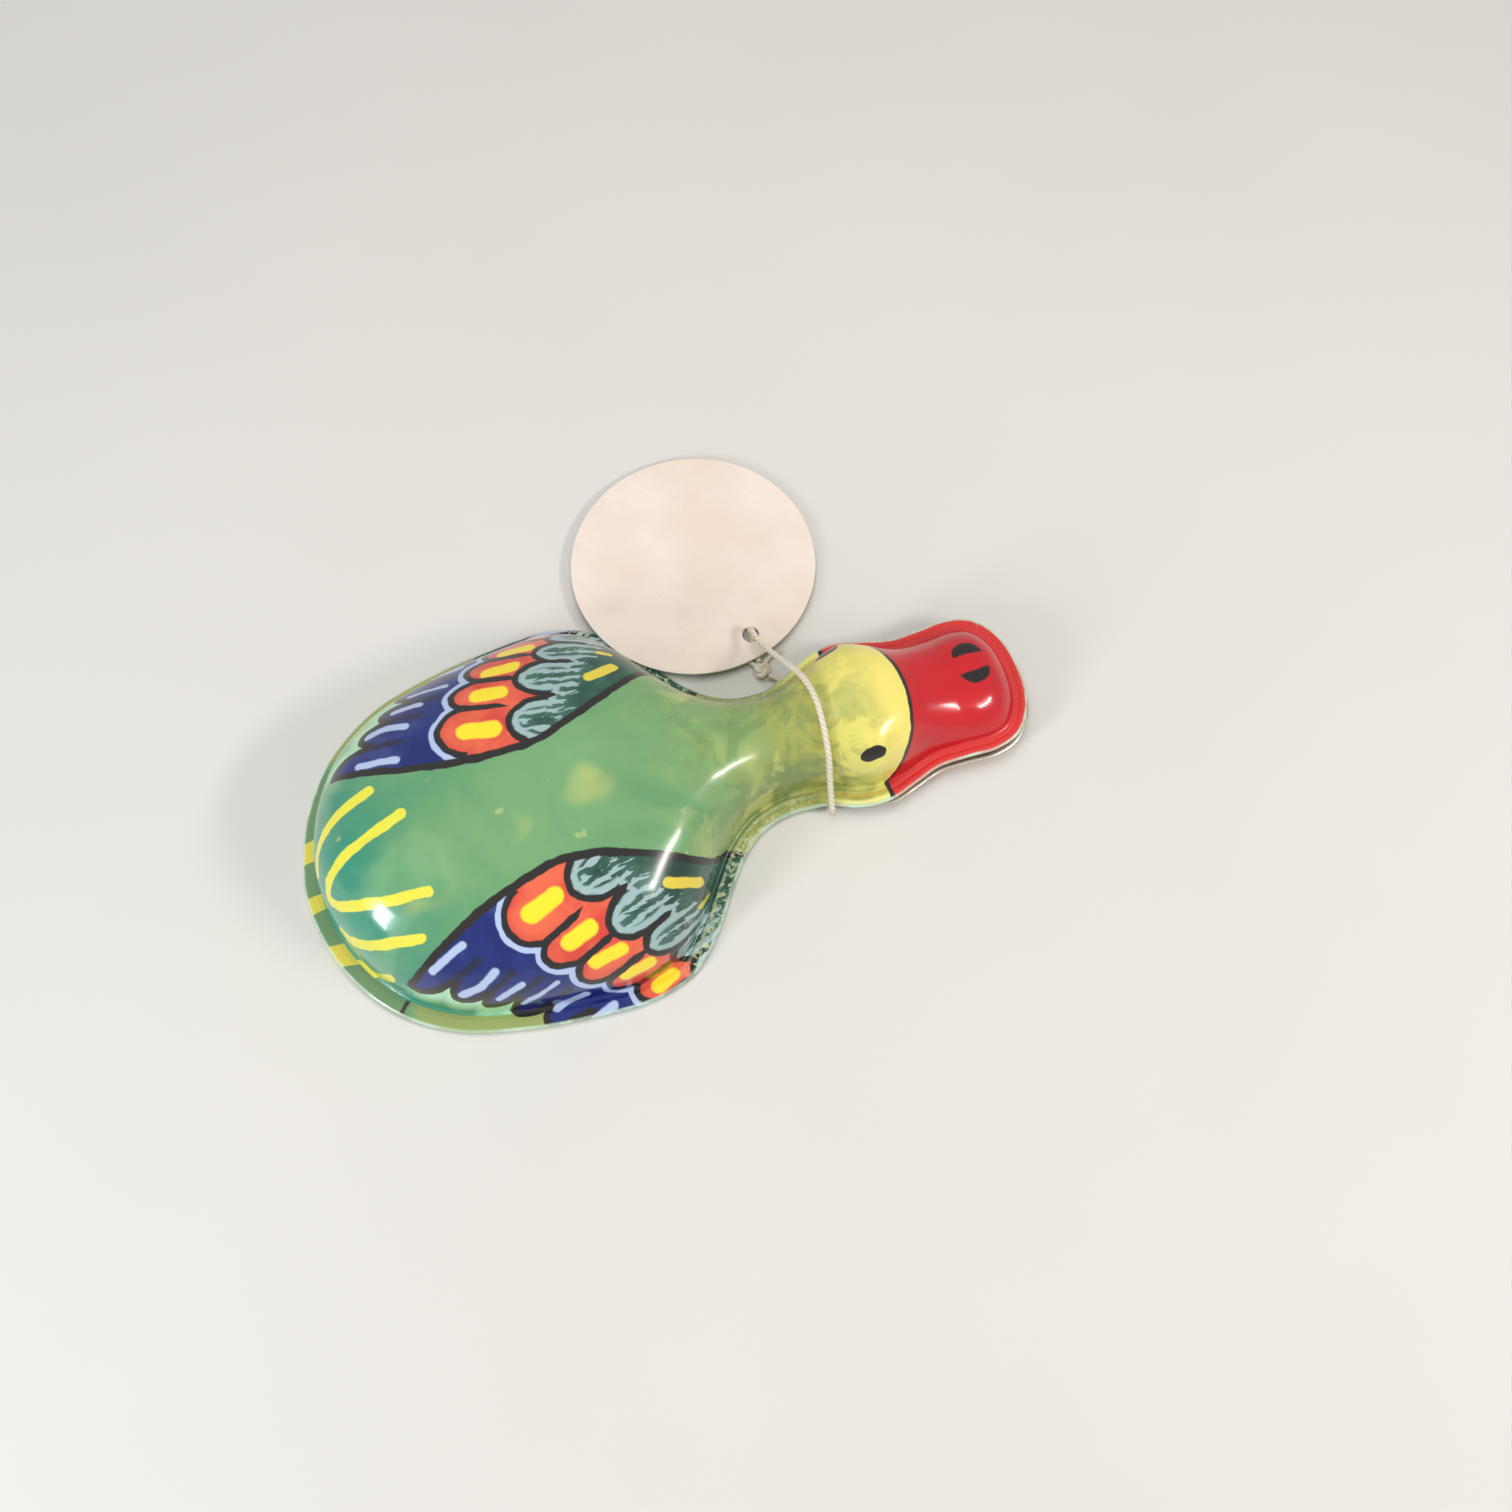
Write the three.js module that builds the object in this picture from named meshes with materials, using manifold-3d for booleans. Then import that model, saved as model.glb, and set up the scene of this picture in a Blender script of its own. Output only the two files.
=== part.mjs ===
// A stamped tin duck clicker. Squeezing the spring tongue in its belly clicks and opens the bill.
// Millimetres, +Z up, +X towards the bill. It stands on the folded seam of its brim.
import * as THREE from 'three';
import { mergeVertices } from 'three/addons/utils/BufferGeometryUtils.js';
import Module from 'manifold-3d';

const wasm = await Module();
wasm.setup();

// Driving dimensions of the stamping
const duckLength = 146;        // tail to bill tip, along the brim's outer edge
const tin = 0.4;               // wall of every tin sheet
const seamGap = 0.25;          // clearance round the belly plate inside the folded seam
const seamReach = 3.0;         // how far the seam folds under the belly plate
const lipReach = 0.75;         // the same for the plain rolled lip of head and bill
const lipDepth = 0.7;
const seamEnd = 99;            // the folded seam ends here, just behind the head
const seamHeight = 3 * tin + 2 * seamGap;

// Half width of the brim's outer edge, at distances from the tail
const planStations = [
  [0, 0], [1.0, 7.8], [4.2, 17.0], [10.8, 26.6], [21, 33.8], [34, 37.6], [47, 39.4], [58, 39.8],
  [66.5, 37.4], [73, 31.6], [78.2, 24.4], [83, 18.4], [88.5, 14.5], [95, 13.2], [101, 14.2],
  [107, 16.8], [113, 17.4], [118.5, 15.9], [124, 14.3], [130, 14.3], [136, 14.5], [141, 12.8],
  [144.8, 7.6], [duckLength, 0],
];
const planSteps = 2;           // outline points between two stations

// Height of the dome's crown, width of the brim and rise of the brim, at the same distances
const crownHeights = [
  [14, 21.8], [19, 23.4], [26, 24.7], [36, 25.7], [47, 26.0], [60, 25.0], [72, 22.4], [84, 19.3],
  [94, 17.8], [103, 18.8], [111, 20.4], [118, 19.2], [124, 15.9], [130, 13.8], [136, 13.0],
];
const brimWidths = [[0, 3.8], [90, 3.7], [106, 4.1], [114, 3.8], [120, 3.0], [146, 2.8]];
const brimRises = [[0, 0], [97.2, 0], [100, 0.9], [104, 1.5], [112, 2.5], [122, 3.5], [134, 4.2], [146, 4.4]];
const roundness = [[0, 2.3], [80, 2.3], [112, 2.4], [122, 3.0], [146, 3.0]];
const steepness = [
  [0, 2.0], [30, 2.2], [60, 2.4], [80, 2.3], [92, 2.6], [102, 3.0], [109, 4.0], [113, 3.8], [121, 1.5],
  [146, 1.35],
];
const spineTail = 26;          // behind this the rings close up like a fan
const spineTip = 130;          // and ahead of this
const fanShare = 0.3;
const domeRings = [0.025, 0.08, 0.17, 0.3, 0.46, 0.65, 0.84];

// Hinge of the lower bill
const hingeX = 98;
const hingeZ = 5.4;
const pinRadius = 0.75;
const pinPlay = 0.2;
const pinHeadRadius = 1.2;
const pinHeadHeight = 0.5;
const sidePlay = 0.3;          // between the jaw's ears and the saddle's, and at the pin's heads
const jawEarSpread = 5.8;      // middle of each jaw ear from the centre line
const earSheet = 0.5;

// Lower bill and its lever tail
const jawBack = hingeX + 8;
const jawMiddle = 126;         // the pan's floor narrows towards this point
const jawFlat = 0.5;           // share of the way to it where the flat floor begins
const jawNotches = [-0.66, -0.33, 0, 0.33, 0.66];  // points along the pan's straight back edge
const jawOverhang = 0.6;       // how far its rim shows past the upper bill
const jawGaps = [[106, 0.35], [120, 1.1], [146, 1.9]];
const jawDepths = [[106, 0.9], [118, 2.0], [130, 2.9], [147, 2.9]];
const jawHalfWidth = 15;       // rim to middle, for turning millimetres into shares
const rimWidth = 1.2;
const rimFall = 1.7;           // from the rim's edge to where the pan's wall begins
const panWall = 3.2;           // and to where its floor begins
const rimRound = 0.15;
const leverSheet = 0.45;
const leverHalfWidth = 3.6;
const leverEnd = 57;           // over the tongue's tip
const leverBend = 3;           // ahead of the saddle, where the tail turns down to the pan
const leverLap = 3;            // overlap of the tail's sheet on the pan
const leverSink = 1;           // how much lower along the pan's floor it meets the sheet
const leverJoin = 0.05;
const earLength = 3.2;         // the jaw's ears behind the pin
const earWall = 1.1;           // metal round the pin hole

// Belly plate, its window and the spring tongue
const plateFront = hingeX - 1;
const plateCorner = 1;         // outline points closer than this to its front edge are left out
const windowBack = 27;
const windowFront = 63;
const windowHalfWidth = 11;
const windowCorner = 7;
const reedRoot = 17.5;
const reedHinge = 20.5;
const reedTip = 62;
const reedHalfWidth = 6.5;
const reedSheet = 0.35;
const reedLift = 0.6;          // above the belly plate
const reedTouch = 0.3;         // between the tongue's tip and the lever
const dimpleX = 40;
const dimpleRadius = 4.6;
const dimpleHeight = 0.8;
const dimpleProfile = [1, 0.82, 0.6, 0.35, 0];
const dimpleJoin = 0.02;
const reedCorner = 4;

// Rivets
const reedRivetSpread = 3.6;
const bracketRivetX = hingeX - 9.5;
const bracketRivetSpread = 5.4;
const shankRadius = 0.9;
const holePlay = 0.25;
const rivetHeadRadius = 1.8;
const bracketHeadRadius = 1.3;
const rivetHeadHeight = 0.35;
const headTaper = 0.75;        // top of a head against its foot
const rivetPlay = 0.1;
const collarWall = 0.6;
const collarGap = 0.3;         // under the tongue, which turns a little on its rivets
const headGap = 0.35;          // and above it

// Saddle that holds the pin
const saddleBack = hingeX - 11.5;
const saddleFront = hingeX - 1.5;
const saddleSheet = 0.5;
const saddleEarBack = hingeX - 6.5;
const saddleEarHalfLength = 2.3;
const saddleEarDrop = 1.4;     // straight front edge below the pin
const saddleEarFoot = 0.8;

// Torsion spring on the pin
const wireRadius = 0.25;
const wireSides = 6;
const wireSteps = 76;
const coilRadius = 1.35;
const coilTurns = 3;
const coilPitch = 0.75;
const springArmX = hingeX - 11; // end of the arm on the lever tail
const springPlay = 0.3;
const roofArmBack = 5;         // end of the other arm, behind the pin
const roofArmBend = [3.4, 5];  // its bend, behind and above the pin
const coilStart = 1.45 * Math.PI;
const coilSpare = 0.9;         // radians that the coil turns past its last full turn
const coilPoints = 12;

// Card tag, which lies with one edge on the brim and the other on the table
const tagRadius = 25.4;
const tagSheet = 0.5;
const tagArcs = 24;
const tagHoleRadius = 1.7;
const tagHoleInset = 5;        // hole centre from the card's edge
const tagHolePlace = [98.2, 25.57, 1.58];  // on the card's underside
const tagTowards = 107.7;      // degrees from +X, from the hole to the card's middle
const tagLean = 1.9;           // degrees, down towards tagLeanTowards
const tagLeanTowards = 52.6;   // degrees from +X

// Neck cord: from the knot through the card's hole, over the neck and back under it
const cordRadius = 0.6;
const cordSides = 8;
const cordSteps = 78;
const knotRadius = 1.5;
const knotPlace = [98.0, 17.6, 1.55];
const cordRoute = [
  [98.05, 19.5, 1.0], [98.1, 21.2, 0.7], [98.15, 23.4, 0.68], [98.2, 24.9, 1.02], [98.2, 25.75, 1.9],
  [98.2, 26.0, 3.1], [98.25, 25.6, 4.3], [98.35, 24.7, 5.2], [98.5, 23.2, 5.8], [99.2, 20.6, 6.8],
  [100.3, 16.8, 9.3], [101.4, 13.1, 12.4], [102.3, 9.8, 15.5], [102.8, 6.5, 18.3], [103.2, 3.1, 19.8],
  [103.3, 0, 20.2], [103.1, -3.1, 19.8], [102.8, -6.5, 18.35], [102.5, -9.3, 15.6], [102.1, -11.5, 11.0],
  [101.8, -13.5, 6.4], [101.6, -15.0, 3.7], [101.6, -15.3, 2.6], [101.6, -15.0, 1.6], [101.6, -14.2, 0.95],
  [101.5, -12.9, 0.7], [101.3, -9.0, 0.66], [101.2, -3.0, 0.66], [101.2, 3.0, 0.66], [101.3, 9.0, 0.66],
  [101.4, 12.6, 0.68], [100.9, 14.4, 0.75], [99.8, 15.6, 0.95], [98.9, 16.0, 1.15],
];

const plateBottom = tin + seamGap;
const plateTop = plateBottom + tin;
const reedBottom = plateTop + reedLift;
const leverBottom = reedBottom + reedSheet + reedTouch;

// Smooth value through named stations, flat beyond the ends
function through(stations, at) {
  const last = stations.length - 1;
  if (at <= stations[0][0]) {
    return stations[0][1];
  }
  if (at >= stations[last][0]) {
    return stations[last][1];
  }
  const slope = (i) => {
    const a = stations[Math.max(i - 1, 0)];
    const b = stations[Math.min(i + 1, last)];
    return i === 0 || i === last ? 0 : (b[1] - a[1]) / (b[0] - a[0]);
  };
  const i = stations.findIndex((s) => s[0] > at) - 1;
  const [x0, y0] = stations[i];
  const [x1, y1] = stations[i + 1];
  const span = x1 - x0;
  const t = (at - x0) / span;
  const rise = 3 * t * t - 2 * t * t * t;
  const early = t * (1 - t) * (1 - t);
  const late = t * t * (t - 1);
  return y0 + (y1 - y0) * rise + span * (slope(i) * early + slope(i + 1) * late);
}

// Outer edge of the brim: a closed smooth curve, with its inward normals
function planOutline() {
  const side = planStations.map(([x, y]) => new THREE.Vector3(x, y, 0));
  const other = side.slice(1, -1).reverse().map((p) => new THREE.Vector3(p.x, -p.y, 0));
  const curve = new THREE.CatmullRomCurve3([...side, ...other], true, 'centripetal');
  const count = (side.length + other.length) * planSteps;
  const points = [];
  for (let i = 0; i < count; i += 1) {
    const at = curve.getPoint(i / count);
    const along = curve.getTangent(i / count);
    points.push({ x: at.x, y: at.y, nx: along.y, ny: -along.x });
  }
  return points;
}

const outline = planOutline();

const brimTopAt = (x) => seamHeight + through(brimRises, x);

function insetBy(p, distance) {
  return { x: p.x + p.nx * distance, y: p.y + p.ny * distance };
}

// The spine point that an outline point's dome runs up to
function spineAt(x) {
  if (x < spineTail) {
    return spineTail - (spineTail - x) * fanShare;
  }
  if (x > spineTip) {
    return spineTip + (x - spineTip) * fanShare;
  }
  return x;
}

function domeShare(share, x) {
  const p = through(roundness, x);
  const q = through(steepness, x);
  return (1 - (1 - share) ** p) ** (1 / q);
}

// A point of the dome above outline point p: share 0 at the foot and 1 on the spine
function domePoint(p, share, thickness) {
  const foot = insetBy(p, through(brimWidths, p.x) + thickness);
  const spine = spineAt(p.x);
  const low = brimTopAt(p.x) - thickness;
  const high = through(crownHeights, spine) - thickness;
  const x = foot.x + (spine - foot.x) * share;
  const y = foot.y * (1 - share);
  return [x, y, low + (high - low) * domeShare(share, spine)];
}

// Closed mesh from rings of equal length, ended by a spine at each end
function ringSolid(rings, firstSpine, lastSpine) {
  const count = rings[0].length;
  const vertices = rings.flat();
  const faces = [];
  const quad = (a, b, c, d) => faces.push([a, b, c], [a, c, d]);
  const at = (ring, i) => ring * count + (i % count);
  for (let ring = 0; ring + 1 < rings.length; ring += 1) {
    for (let i = 0; i < count; i += 1) {
      quad(at(ring, i), at(ring + 1, i), at(ring + 1, i + 1), at(ring, i + 1));
    }
  }
  const mirrored = (i) => Math.min(i % count, count - (i % count));
  const close = (ring, spine, flip) => {
    const base = vertices.length;
    vertices.push(...spine);
    for (let i = 0; i < count; i += 1) {
      const s0 = base + mirrored(i);
      const s1 = base + mirrored(i + 1);
      const r0 = at(ring, i);
      const r1 = at(ring, i + 1);
      if (flip) {
        quad(r0, s0, s1, r1);
      } else {
        quad(s0, r0, r1, s1);
      }
    }
  };
  close(0, firstSpine, false);
  close(rings.length - 1, lastSpine, true);
  return meshFrom(vertices, faces);
}

// Indexed geometry, facing outwards, from points and triangles
function meshFrom(vertices, faces) {
  let volume = 0;
  for (const [a, b, c] of faces) {
    const [p, q, r] = [vertices[a], vertices[b], vertices[c]];
    volume += p[0] * (q[1] * r[2] - q[2] * r[1]) - p[1] * (q[0] * r[2] - q[2] * r[0])
      + p[2] * (q[0] * r[1] - q[1] * r[0]);
  }
  const index = faces.flatMap(([a, b, c]) => (volume > 0 ? [a, b, c] : [a, c, b]));
  const geometry = new THREE.BufferGeometry();
  geometry.setAttribute('position', new THREE.Float32BufferAttribute(vertices.flat(), 3));
  geometry.setIndex(index);
  return geometry;
}

// Solids for joining and cutting
function solid(geometry) {
  const bare = geometry.clone();
  bare.deleteAttribute('normal');
  bare.deleteAttribute('uv');
  const merged = mergeVertices(bare, 1e-5);
  return new wasm.Manifold(new wasm.Mesh({
    numProp: 3,
    vertProperties: new Float32Array(merged.attributes.position.array),
    triVerts: new Uint32Array(merged.index.array),
  }));
}

function geometryOf(manifold) {
  const mesh = manifold.getMesh();
  const geometry = new THREE.BufferGeometry();
  geometry.setAttribute('position', new THREE.BufferAttribute(mesh.vertProperties, 3));
  geometry.setIndex(new THREE.BufferAttribute(mesh.triVerts, 1));
  return geometry;
}

// A flat sheet from a plan shape, with its underside at a height
function sheet(shape, bottom, thickness, curveSegments = 6) {
  const geometry = new THREE.ExtrudeGeometry(shape, { depth: thickness, bevelEnabled: false, curveSegments });
  return geometry.translate(0, 0, bottom);
}

// A profile drawn in X and Z, as thick as given along Y and centred on a Y
function sideSheet(shape, middleY, thickness, curveSegments = 6) {
  const geometry = new THREE.ExtrudeGeometry(shape, { depth: thickness, bevelEnabled: false, curveSegments });
  geometry.rotateX(Math.PI / 2);
  return geometry.translate(0, middleY + thickness / 2, 0);
}

function upright(radius, bottom, top, x, y, segments = 14) {
  const geometry = new THREE.CylinderGeometry(radius, radius, top - bottom, segments);
  geometry.rotateX(Math.PI / 2);
  return geometry.translate(x, y, (bottom + top) / 2);
}

function crosswise(radius, length, x, y, z, segments = 14) {
  return new THREE.CylinderGeometry(radius, radius, length, segments).translate(x, y, z);
}

function shapeOf(points) {
  return new THREE.Shape(points.map(([x, y]) => new THREE.Vector2(x, y)));
}

function roundedRectangle(x0, x1, y0, y1, radius) {
  const path = new THREE.Path();
  path.moveTo(x0 + radius, y0);
  path.lineTo(x1 - radius, y0);
  path.absarc(x1 - radius, y0 + radius, radius, -Math.PI / 2, 0);
  path.lineTo(x1, y1 - radius);
  path.absarc(x1 - radius, y1 - radius, radius, 0, Math.PI / 2);
  path.lineTo(x0 + radius, y1);
  path.absarc(x0 + radius, y1 - radius, radius, Math.PI / 2, Math.PI);
  path.lineTo(x0, y0 + radius);
  path.absarc(x0 + radius, y0 + radius, radius, Math.PI, 1.5 * Math.PI);
  return path;
}

// Upper stamping: dome, brim and the seam folded under it
function bodyShell() {
  const ringOf = (share, thickness) => outline.map((p) => domePoint(p, share, thickness));
  const edge = (place) => outline.map((p) => {
    const folded = p.x < seamEnd;
    const depth = folded ? seamHeight : lipDepth;
    const reach = folded ? seamReach : lipReach;
    const [inset, drop] = place(reach, depth);
    const at = insetBy(p, inset);
    return [at.x, at.y, brimTopAt(p.x) - drop];
  });
  const half = outline.slice(0, outline.length / 2 + 1);
  const outside = [...domeRings].reverse().map((share) => ringOf(share, 0));
  const inside = domeRings.map((share) => ringOf(share, tin));
  const rings = [
    ...outside,
    ringOf(0, 0),
    edge(() => [0, 0]),
    edge((reach, depth) => [0, depth]),
    edge((reach, depth) => [reach, depth]),
    edge((reach, depth) => [reach, depth - tin]),
    edge((reach, depth) => [tin, depth - tin]),
    edge(() => [tin, tin]),
    ringOf(0, tin),
    ...inside,
  ];
  const crown = half.map((p) => domePoint(p, 1, 0));
  const ceiling = half.map((p) => domePoint(p, 1, tin));
  return ringSolid(rings, crown, ceiling);
}

// Bottom sheet held in the folded seam, with the window for the thumb
function bellyPlate() {
  const inset = tin + seamGap;
  const half = outline.slice(0, outline.length / 2 + 1).map((p) => insetBy(p, inset));
  const side = half.filter((p) => p.x < plateFront - plateCorner);
  const next = half[side.length];
  const last = side[side.length - 1];
  const t = (plateFront - last.x) / (next.x - last.x);
  const corner = last.y + (next.y - last.y) * t;
  const edge = [...side.map((p) => [p.x, p.y]), [plateFront, corner]];
  const mirrored = edge.slice(1).reverse().map(([x, y]) => [x, -y]);
  const shape = shapeOf([...edge, ...mirrored]);
  shape.holes.push(roundedRectangle(
    windowBack, windowFront, -windowHalfWidth, windowHalfWidth, windowCorner,
  ));
  const places = [
    [reedHinge, reedRivetSpread], [reedHinge, -reedRivetSpread],
    [bracketRivetX, bracketRivetSpread], [bracketRivetX, -bracketRivetSpread],
  ];
  for (const [x, y] of places) {
    const hole = new THREE.Path();
    hole.absarc(x, y, shankRadius + holePlay, 0, 2 * Math.PI);
    shape.holes.push(hole);
  }
  return sheet(shape, plateBottom, tin);
}

// Height of the lower bill's rim at a distance from the tail
const jawRimAt = (x) => brimTopAt(x) - lipDepth - through(jawGaps, x);

// Lower bill: a shallow pan with a raised rim, two ears for the pin and the lever tail
function lowerBill() {
  const front = outline.filter((p) => p.x > jawBack);
  const grown = front.map((p) => insetBy(p, -jawOverhang));
  const corner = grown[0].y;
  const backPoints = jawNotches.map((share) => [jawBack, corner * share]);
  const edge = [...grown.map((p) => [p.x, p.y]), ...backPoints];
  const centre = [jawMiddle, 0];
  const toCentre = (share, height) => edge.map(([x, y]) => {
    const px = x + (centre[0] - x) * share;
    return [px, y * (1 - share), height(px)];
  });
  const inward = (distance) => distance / jawHalfWidth;
  const floor = (x) => jawRimAt(x) - through(jawDepths, x);
  const rings = [
    toCentre(jawFlat, (x) => floor(x) + tin),
    toCentre(inward(panWall + rimRound), (x) => floor(x) + tin),
    toCentre(inward(rimFall), (x) => jawRimAt(x) - rimRound),
    toCentre(inward(rimWidth), (x) => jawRimAt(x)),
    toCentre(0, (x) => jawRimAt(x)),
    toCentre(0, (x) => jawRimAt(x) - tin),
    toCentre(inward(rimWidth), (x) => jawRimAt(x) - tin),
    toCentre(inward(panWall), (x) => floor(x)),
    toCentre(jawFlat, (x) => floor(x)),
  ];
  const pan = solid(fanSolid(rings, [...centre, floor(centre[0]) + tin], [...centre, floor(centre[0])]));
  return geometryOf(pan.add(leverTail()).subtract(solid(
    crosswise(pinRadius + pinPlay, 4 * jawEarSpread, hingeX, 0, hingeZ),
  )));
}

// The same as ringSolid, ended by one point at each end
function fanSolid(rings, first, last) {
  const count = rings[0].length;
  const vertices = [...rings.flat(), first, last];
  const faces = [];
  const top = rings.length - 1;
  for (let i = 0; i < count; i += 1) {
    const j = (i + 1) % count;
    for (let ring = 0; ring < top; ring += 1) {
      const a = ring * count;
      const b = a + count;
      faces.push([a + i, b + i, b + j], [a + i, b + j, a + j]);
    }
    faces.push([rings.length * count, i, j]);
    faces.push([rings.length * count + 1, top * count + j, top * count + i]);
  }
  return meshFrom(vertices, faces);
}

// Tail strip, its wider root between the ears, and the ears
function leverTail() {
  const landing = jawBack + leverLap;
  const meeting = landing - leverSink;
  const foot = jawRimAt(meeting) - through(jawDepths, meeting) + leverJoin;
  const bend = saddleFront + leverBend;
  const strip = (from, halfWidth) => sideSheet(shapeOf([
    [from, leverBottom], [bend, leverBottom], [landing, foot], [landing, foot + leverSheet],
    [bend, leverBottom + leverSheet], [from, leverBottom + leverSheet],
  ]), 0, 2 * halfWidth);
  const earReach = pinRadius + pinPlay + earWall;
  const earBottom = leverBottom + leverSheet / 4;
  const ear = new THREE.Shape();
  ear.moveTo(hingeX - earLength, earBottom);
  ear.lineTo(bend, earBottom);
  ear.lineTo(hingeX + earReach, hingeZ);
  ear.absarc(hingeX, hingeZ, earReach, 0, Math.PI);
  ear.lineTo(hingeX - earLength, earBottom);
  const root = jawEarSpread + earSheet / 2;
  return solid(strip(leverEnd, leverHalfWidth))
    .add(solid(strip(hingeX - earLength, root)))
    .add(solid(sideSheet(ear, jawEarSpread, earSheet)))
    .add(solid(sideSheet(ear, -jawEarSpread, earSheet)));
}

const saddleEarSpread = jawEarSpread + earSheet / 2 + sidePlay + saddleSheet / 2;

// Saddle riveted to the belly plate, with an ear at each side for the pin
function hingeBracket() {
  const bottom = plateTop + rivetPlay;
  const top = bottom + saddleSheet;
  const halfWidth = saddleEarSpread + saddleSheet / 2;
  const base = shapeOf([
    [saddleBack, -halfWidth], [saddleFront, -halfWidth], [saddleFront, halfWidth], [saddleBack, halfWidth],
  ]);
  const ear = new THREE.Shape();
  ear.moveTo(saddleEarBack, bottom);
  ear.lineTo(saddleFront, bottom);
  ear.lineTo(hingeX + saddleEarHalfLength, hingeZ - saddleEarDrop);
  ear.lineTo(hingeX + saddleEarHalfLength, hingeZ);
  ear.absarc(hingeX, hingeZ, saddleEarHalfLength, 0, Math.PI);
  ear.lineTo(saddleEarBack, top + saddleEarFoot);
  const cuts = [-1, 1].map((side) => solid(
    upright(shankRadius + holePlay, 0, 2 * top, bracketRivetX, side * bracketRivetSpread),
  ));
  return geometryOf(solid(sheet(base, bottom, saddleSheet))
    .add(solid(sideSheet(ear, saddleEarSpread, saddleSheet)))
    .add(solid(sideSheet(ear, -saddleEarSpread, saddleSheet)))
    .subtract(solid(crosswise(pinRadius + pinPlay / 2, 4 * saddleEarSpread, hingeX, 0, hingeZ)))
    .subtract(cuts[0])
    .subtract(cuts[1]));
}

// Wire pin with a peened head at each end
function hingePin() {
  const inner = saddleEarSpread + saddleSheet / 2 + sidePlay / 2;
  const outer = inner + pinHeadHeight;
  const shoulder = inner + pinHeadHeight / 2;
  const crown = pinHeadRadius * headTaper;
  const profile = [
    [0, -outer], [crown, -outer], [pinHeadRadius, -shoulder], [pinHeadRadius, -inner], [pinRadius, -inner],
    [pinRadius, inner], [pinHeadRadius, inner], [pinHeadRadius, shoulder], [crown, outer], [0, outer],
  ].map(([r, y]) => new THREE.Vector2(r, y));
  return new THREE.LatheGeometry(profile, 16).translate(hingeX, 0, hingeZ);
}

// Rivet through a sheet and the belly plate: head below, collar between, head above
function rivet(x, y, headRadius, topHead, collarTop) {
  const low = plateBottom - rivetPlay;
  const profile = [
    [0, low - rivetHeadHeight], [headRadius * headTaper, low - rivetHeadHeight], [headRadius, low],
    [shankRadius, low], [shankRadius, plateTop + rivetPlay],
  ];
  if (collarTop) {
    const collar = shankRadius + collarWall;
    profile.push([collar, plateTop + rivetPlay], [collar, collarTop], [shankRadius, collarTop]);
  }
  profile.push(
    [shankRadius, topHead], [headRadius, topHead], [headRadius * headTaper, topHead + rivetHeadHeight],
    [0, topHead + rivetHeadHeight],
  );
  const lathe = new THREE.LatheGeometry(profile.map(([r, z]) => new THREE.Vector2(r, z)), 14);
  return lathe.rotateX(Math.PI / 2).translate(x, y, 0);
}

// Spring steel tongue with a rounded tip and the dimple that makes it snap
function clickerReed() {
  const shape = new THREE.Shape();
  shape.moveTo(reedRoot, -reedHalfWidth);
  shape.lineTo(reedTip - reedCorner, -reedHalfWidth);
  shape.absarc(reedTip - reedCorner, reedCorner - reedHalfWidth, reedCorner, -Math.PI / 2, 0);
  shape.lineTo(reedTip, reedHalfWidth - reedCorner);
  shape.absarc(reedTip - reedCorner, reedHalfWidth - reedCorner, reedCorner, 0, Math.PI / 2);
  shape.lineTo(reedRoot, reedHalfWidth);
  for (const side of [-1, 1]) {
    const hole = new THREE.Path();
    hole.absarc(reedHinge, side * reedRivetSpread, shankRadius + holePlay + rivetPlay, 0, 2 * Math.PI);
    shape.holes.push(hole);
  }
  const strip = solid(sheet(shape, reedBottom, reedSheet));
  const cap = (lift) => {
    const bottom = reedBottom + lift;
    const profile = dimpleProfile.map((s) => [dimpleRadius * s, bottom + dimpleHeight * (1 - s * s)]);
    return [[0, bottom - dimpleJoin], ...profile].map(([r, z]) => new THREE.Vector2(r, z));
  };
  const bump = (lift) => solid(
    new THREE.LatheGeometry(cap(lift), 20).rotateX(Math.PI / 2).translate(dimpleX, 0, 0),
  );
  return geometryOf(strip.add(bump(reedSheet - dimpleJoin)).subtract(bump(0)));
}

// Torsion spring: coil on the pin, one arm on the lever tail, the other against the neck's roof
function returnSpring() {
  const points = [];
  const half = coilTurns * coilPitch / 2;
  const armZ = leverBottom + leverSheet + wireRadius + springPlay;
  points.push(new THREE.Vector3(springArmX, -half, armZ));
  points.push(new THREE.Vector3((springArmX + hingeX) / 2, -half, armZ));
  const steps = coilTurns * coilPoints;
  for (let i = 0; i <= steps; i += 1) {
    const share = i / steps;
    const angle = coilStart - share * (2 * Math.PI * coilTurns + coilSpare);
    const x = hingeX + coilRadius * Math.cos(angle);
    const z = hingeZ + coilRadius * Math.sin(angle);
    points.push(new THREE.Vector3(x, -half + 2 * half * share, z));
  }
  const roofArmX = hingeX - roofArmBack;
  const roof = through(crownHeights, roofArmX) - tin - wireRadius - 2 * springPlay;
  points.push(new THREE.Vector3(hingeX - roofArmBend[0], half, hingeZ + roofArmBend[1]));
  points.push(new THREE.Vector3(roofArmX, half, roof));
  return wire(points, wireRadius, wireSides, wireSteps);
}

function wire(points, radius, sides, steps) {
  const path = new THREE.CatmullRomCurve3(points, false, 'centripetal');
  const section = [];
  for (let i = 0; i < sides; i += 1) {
    const angle = 2 * Math.PI * i / sides;
    section.push([radius * Math.cos(angle), radius * Math.sin(angle)]);
  }
  return new THREE.ExtrudeGeometry(shapeOf(section), { extrudePath: path, steps, bevelEnabled: false });
}

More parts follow.
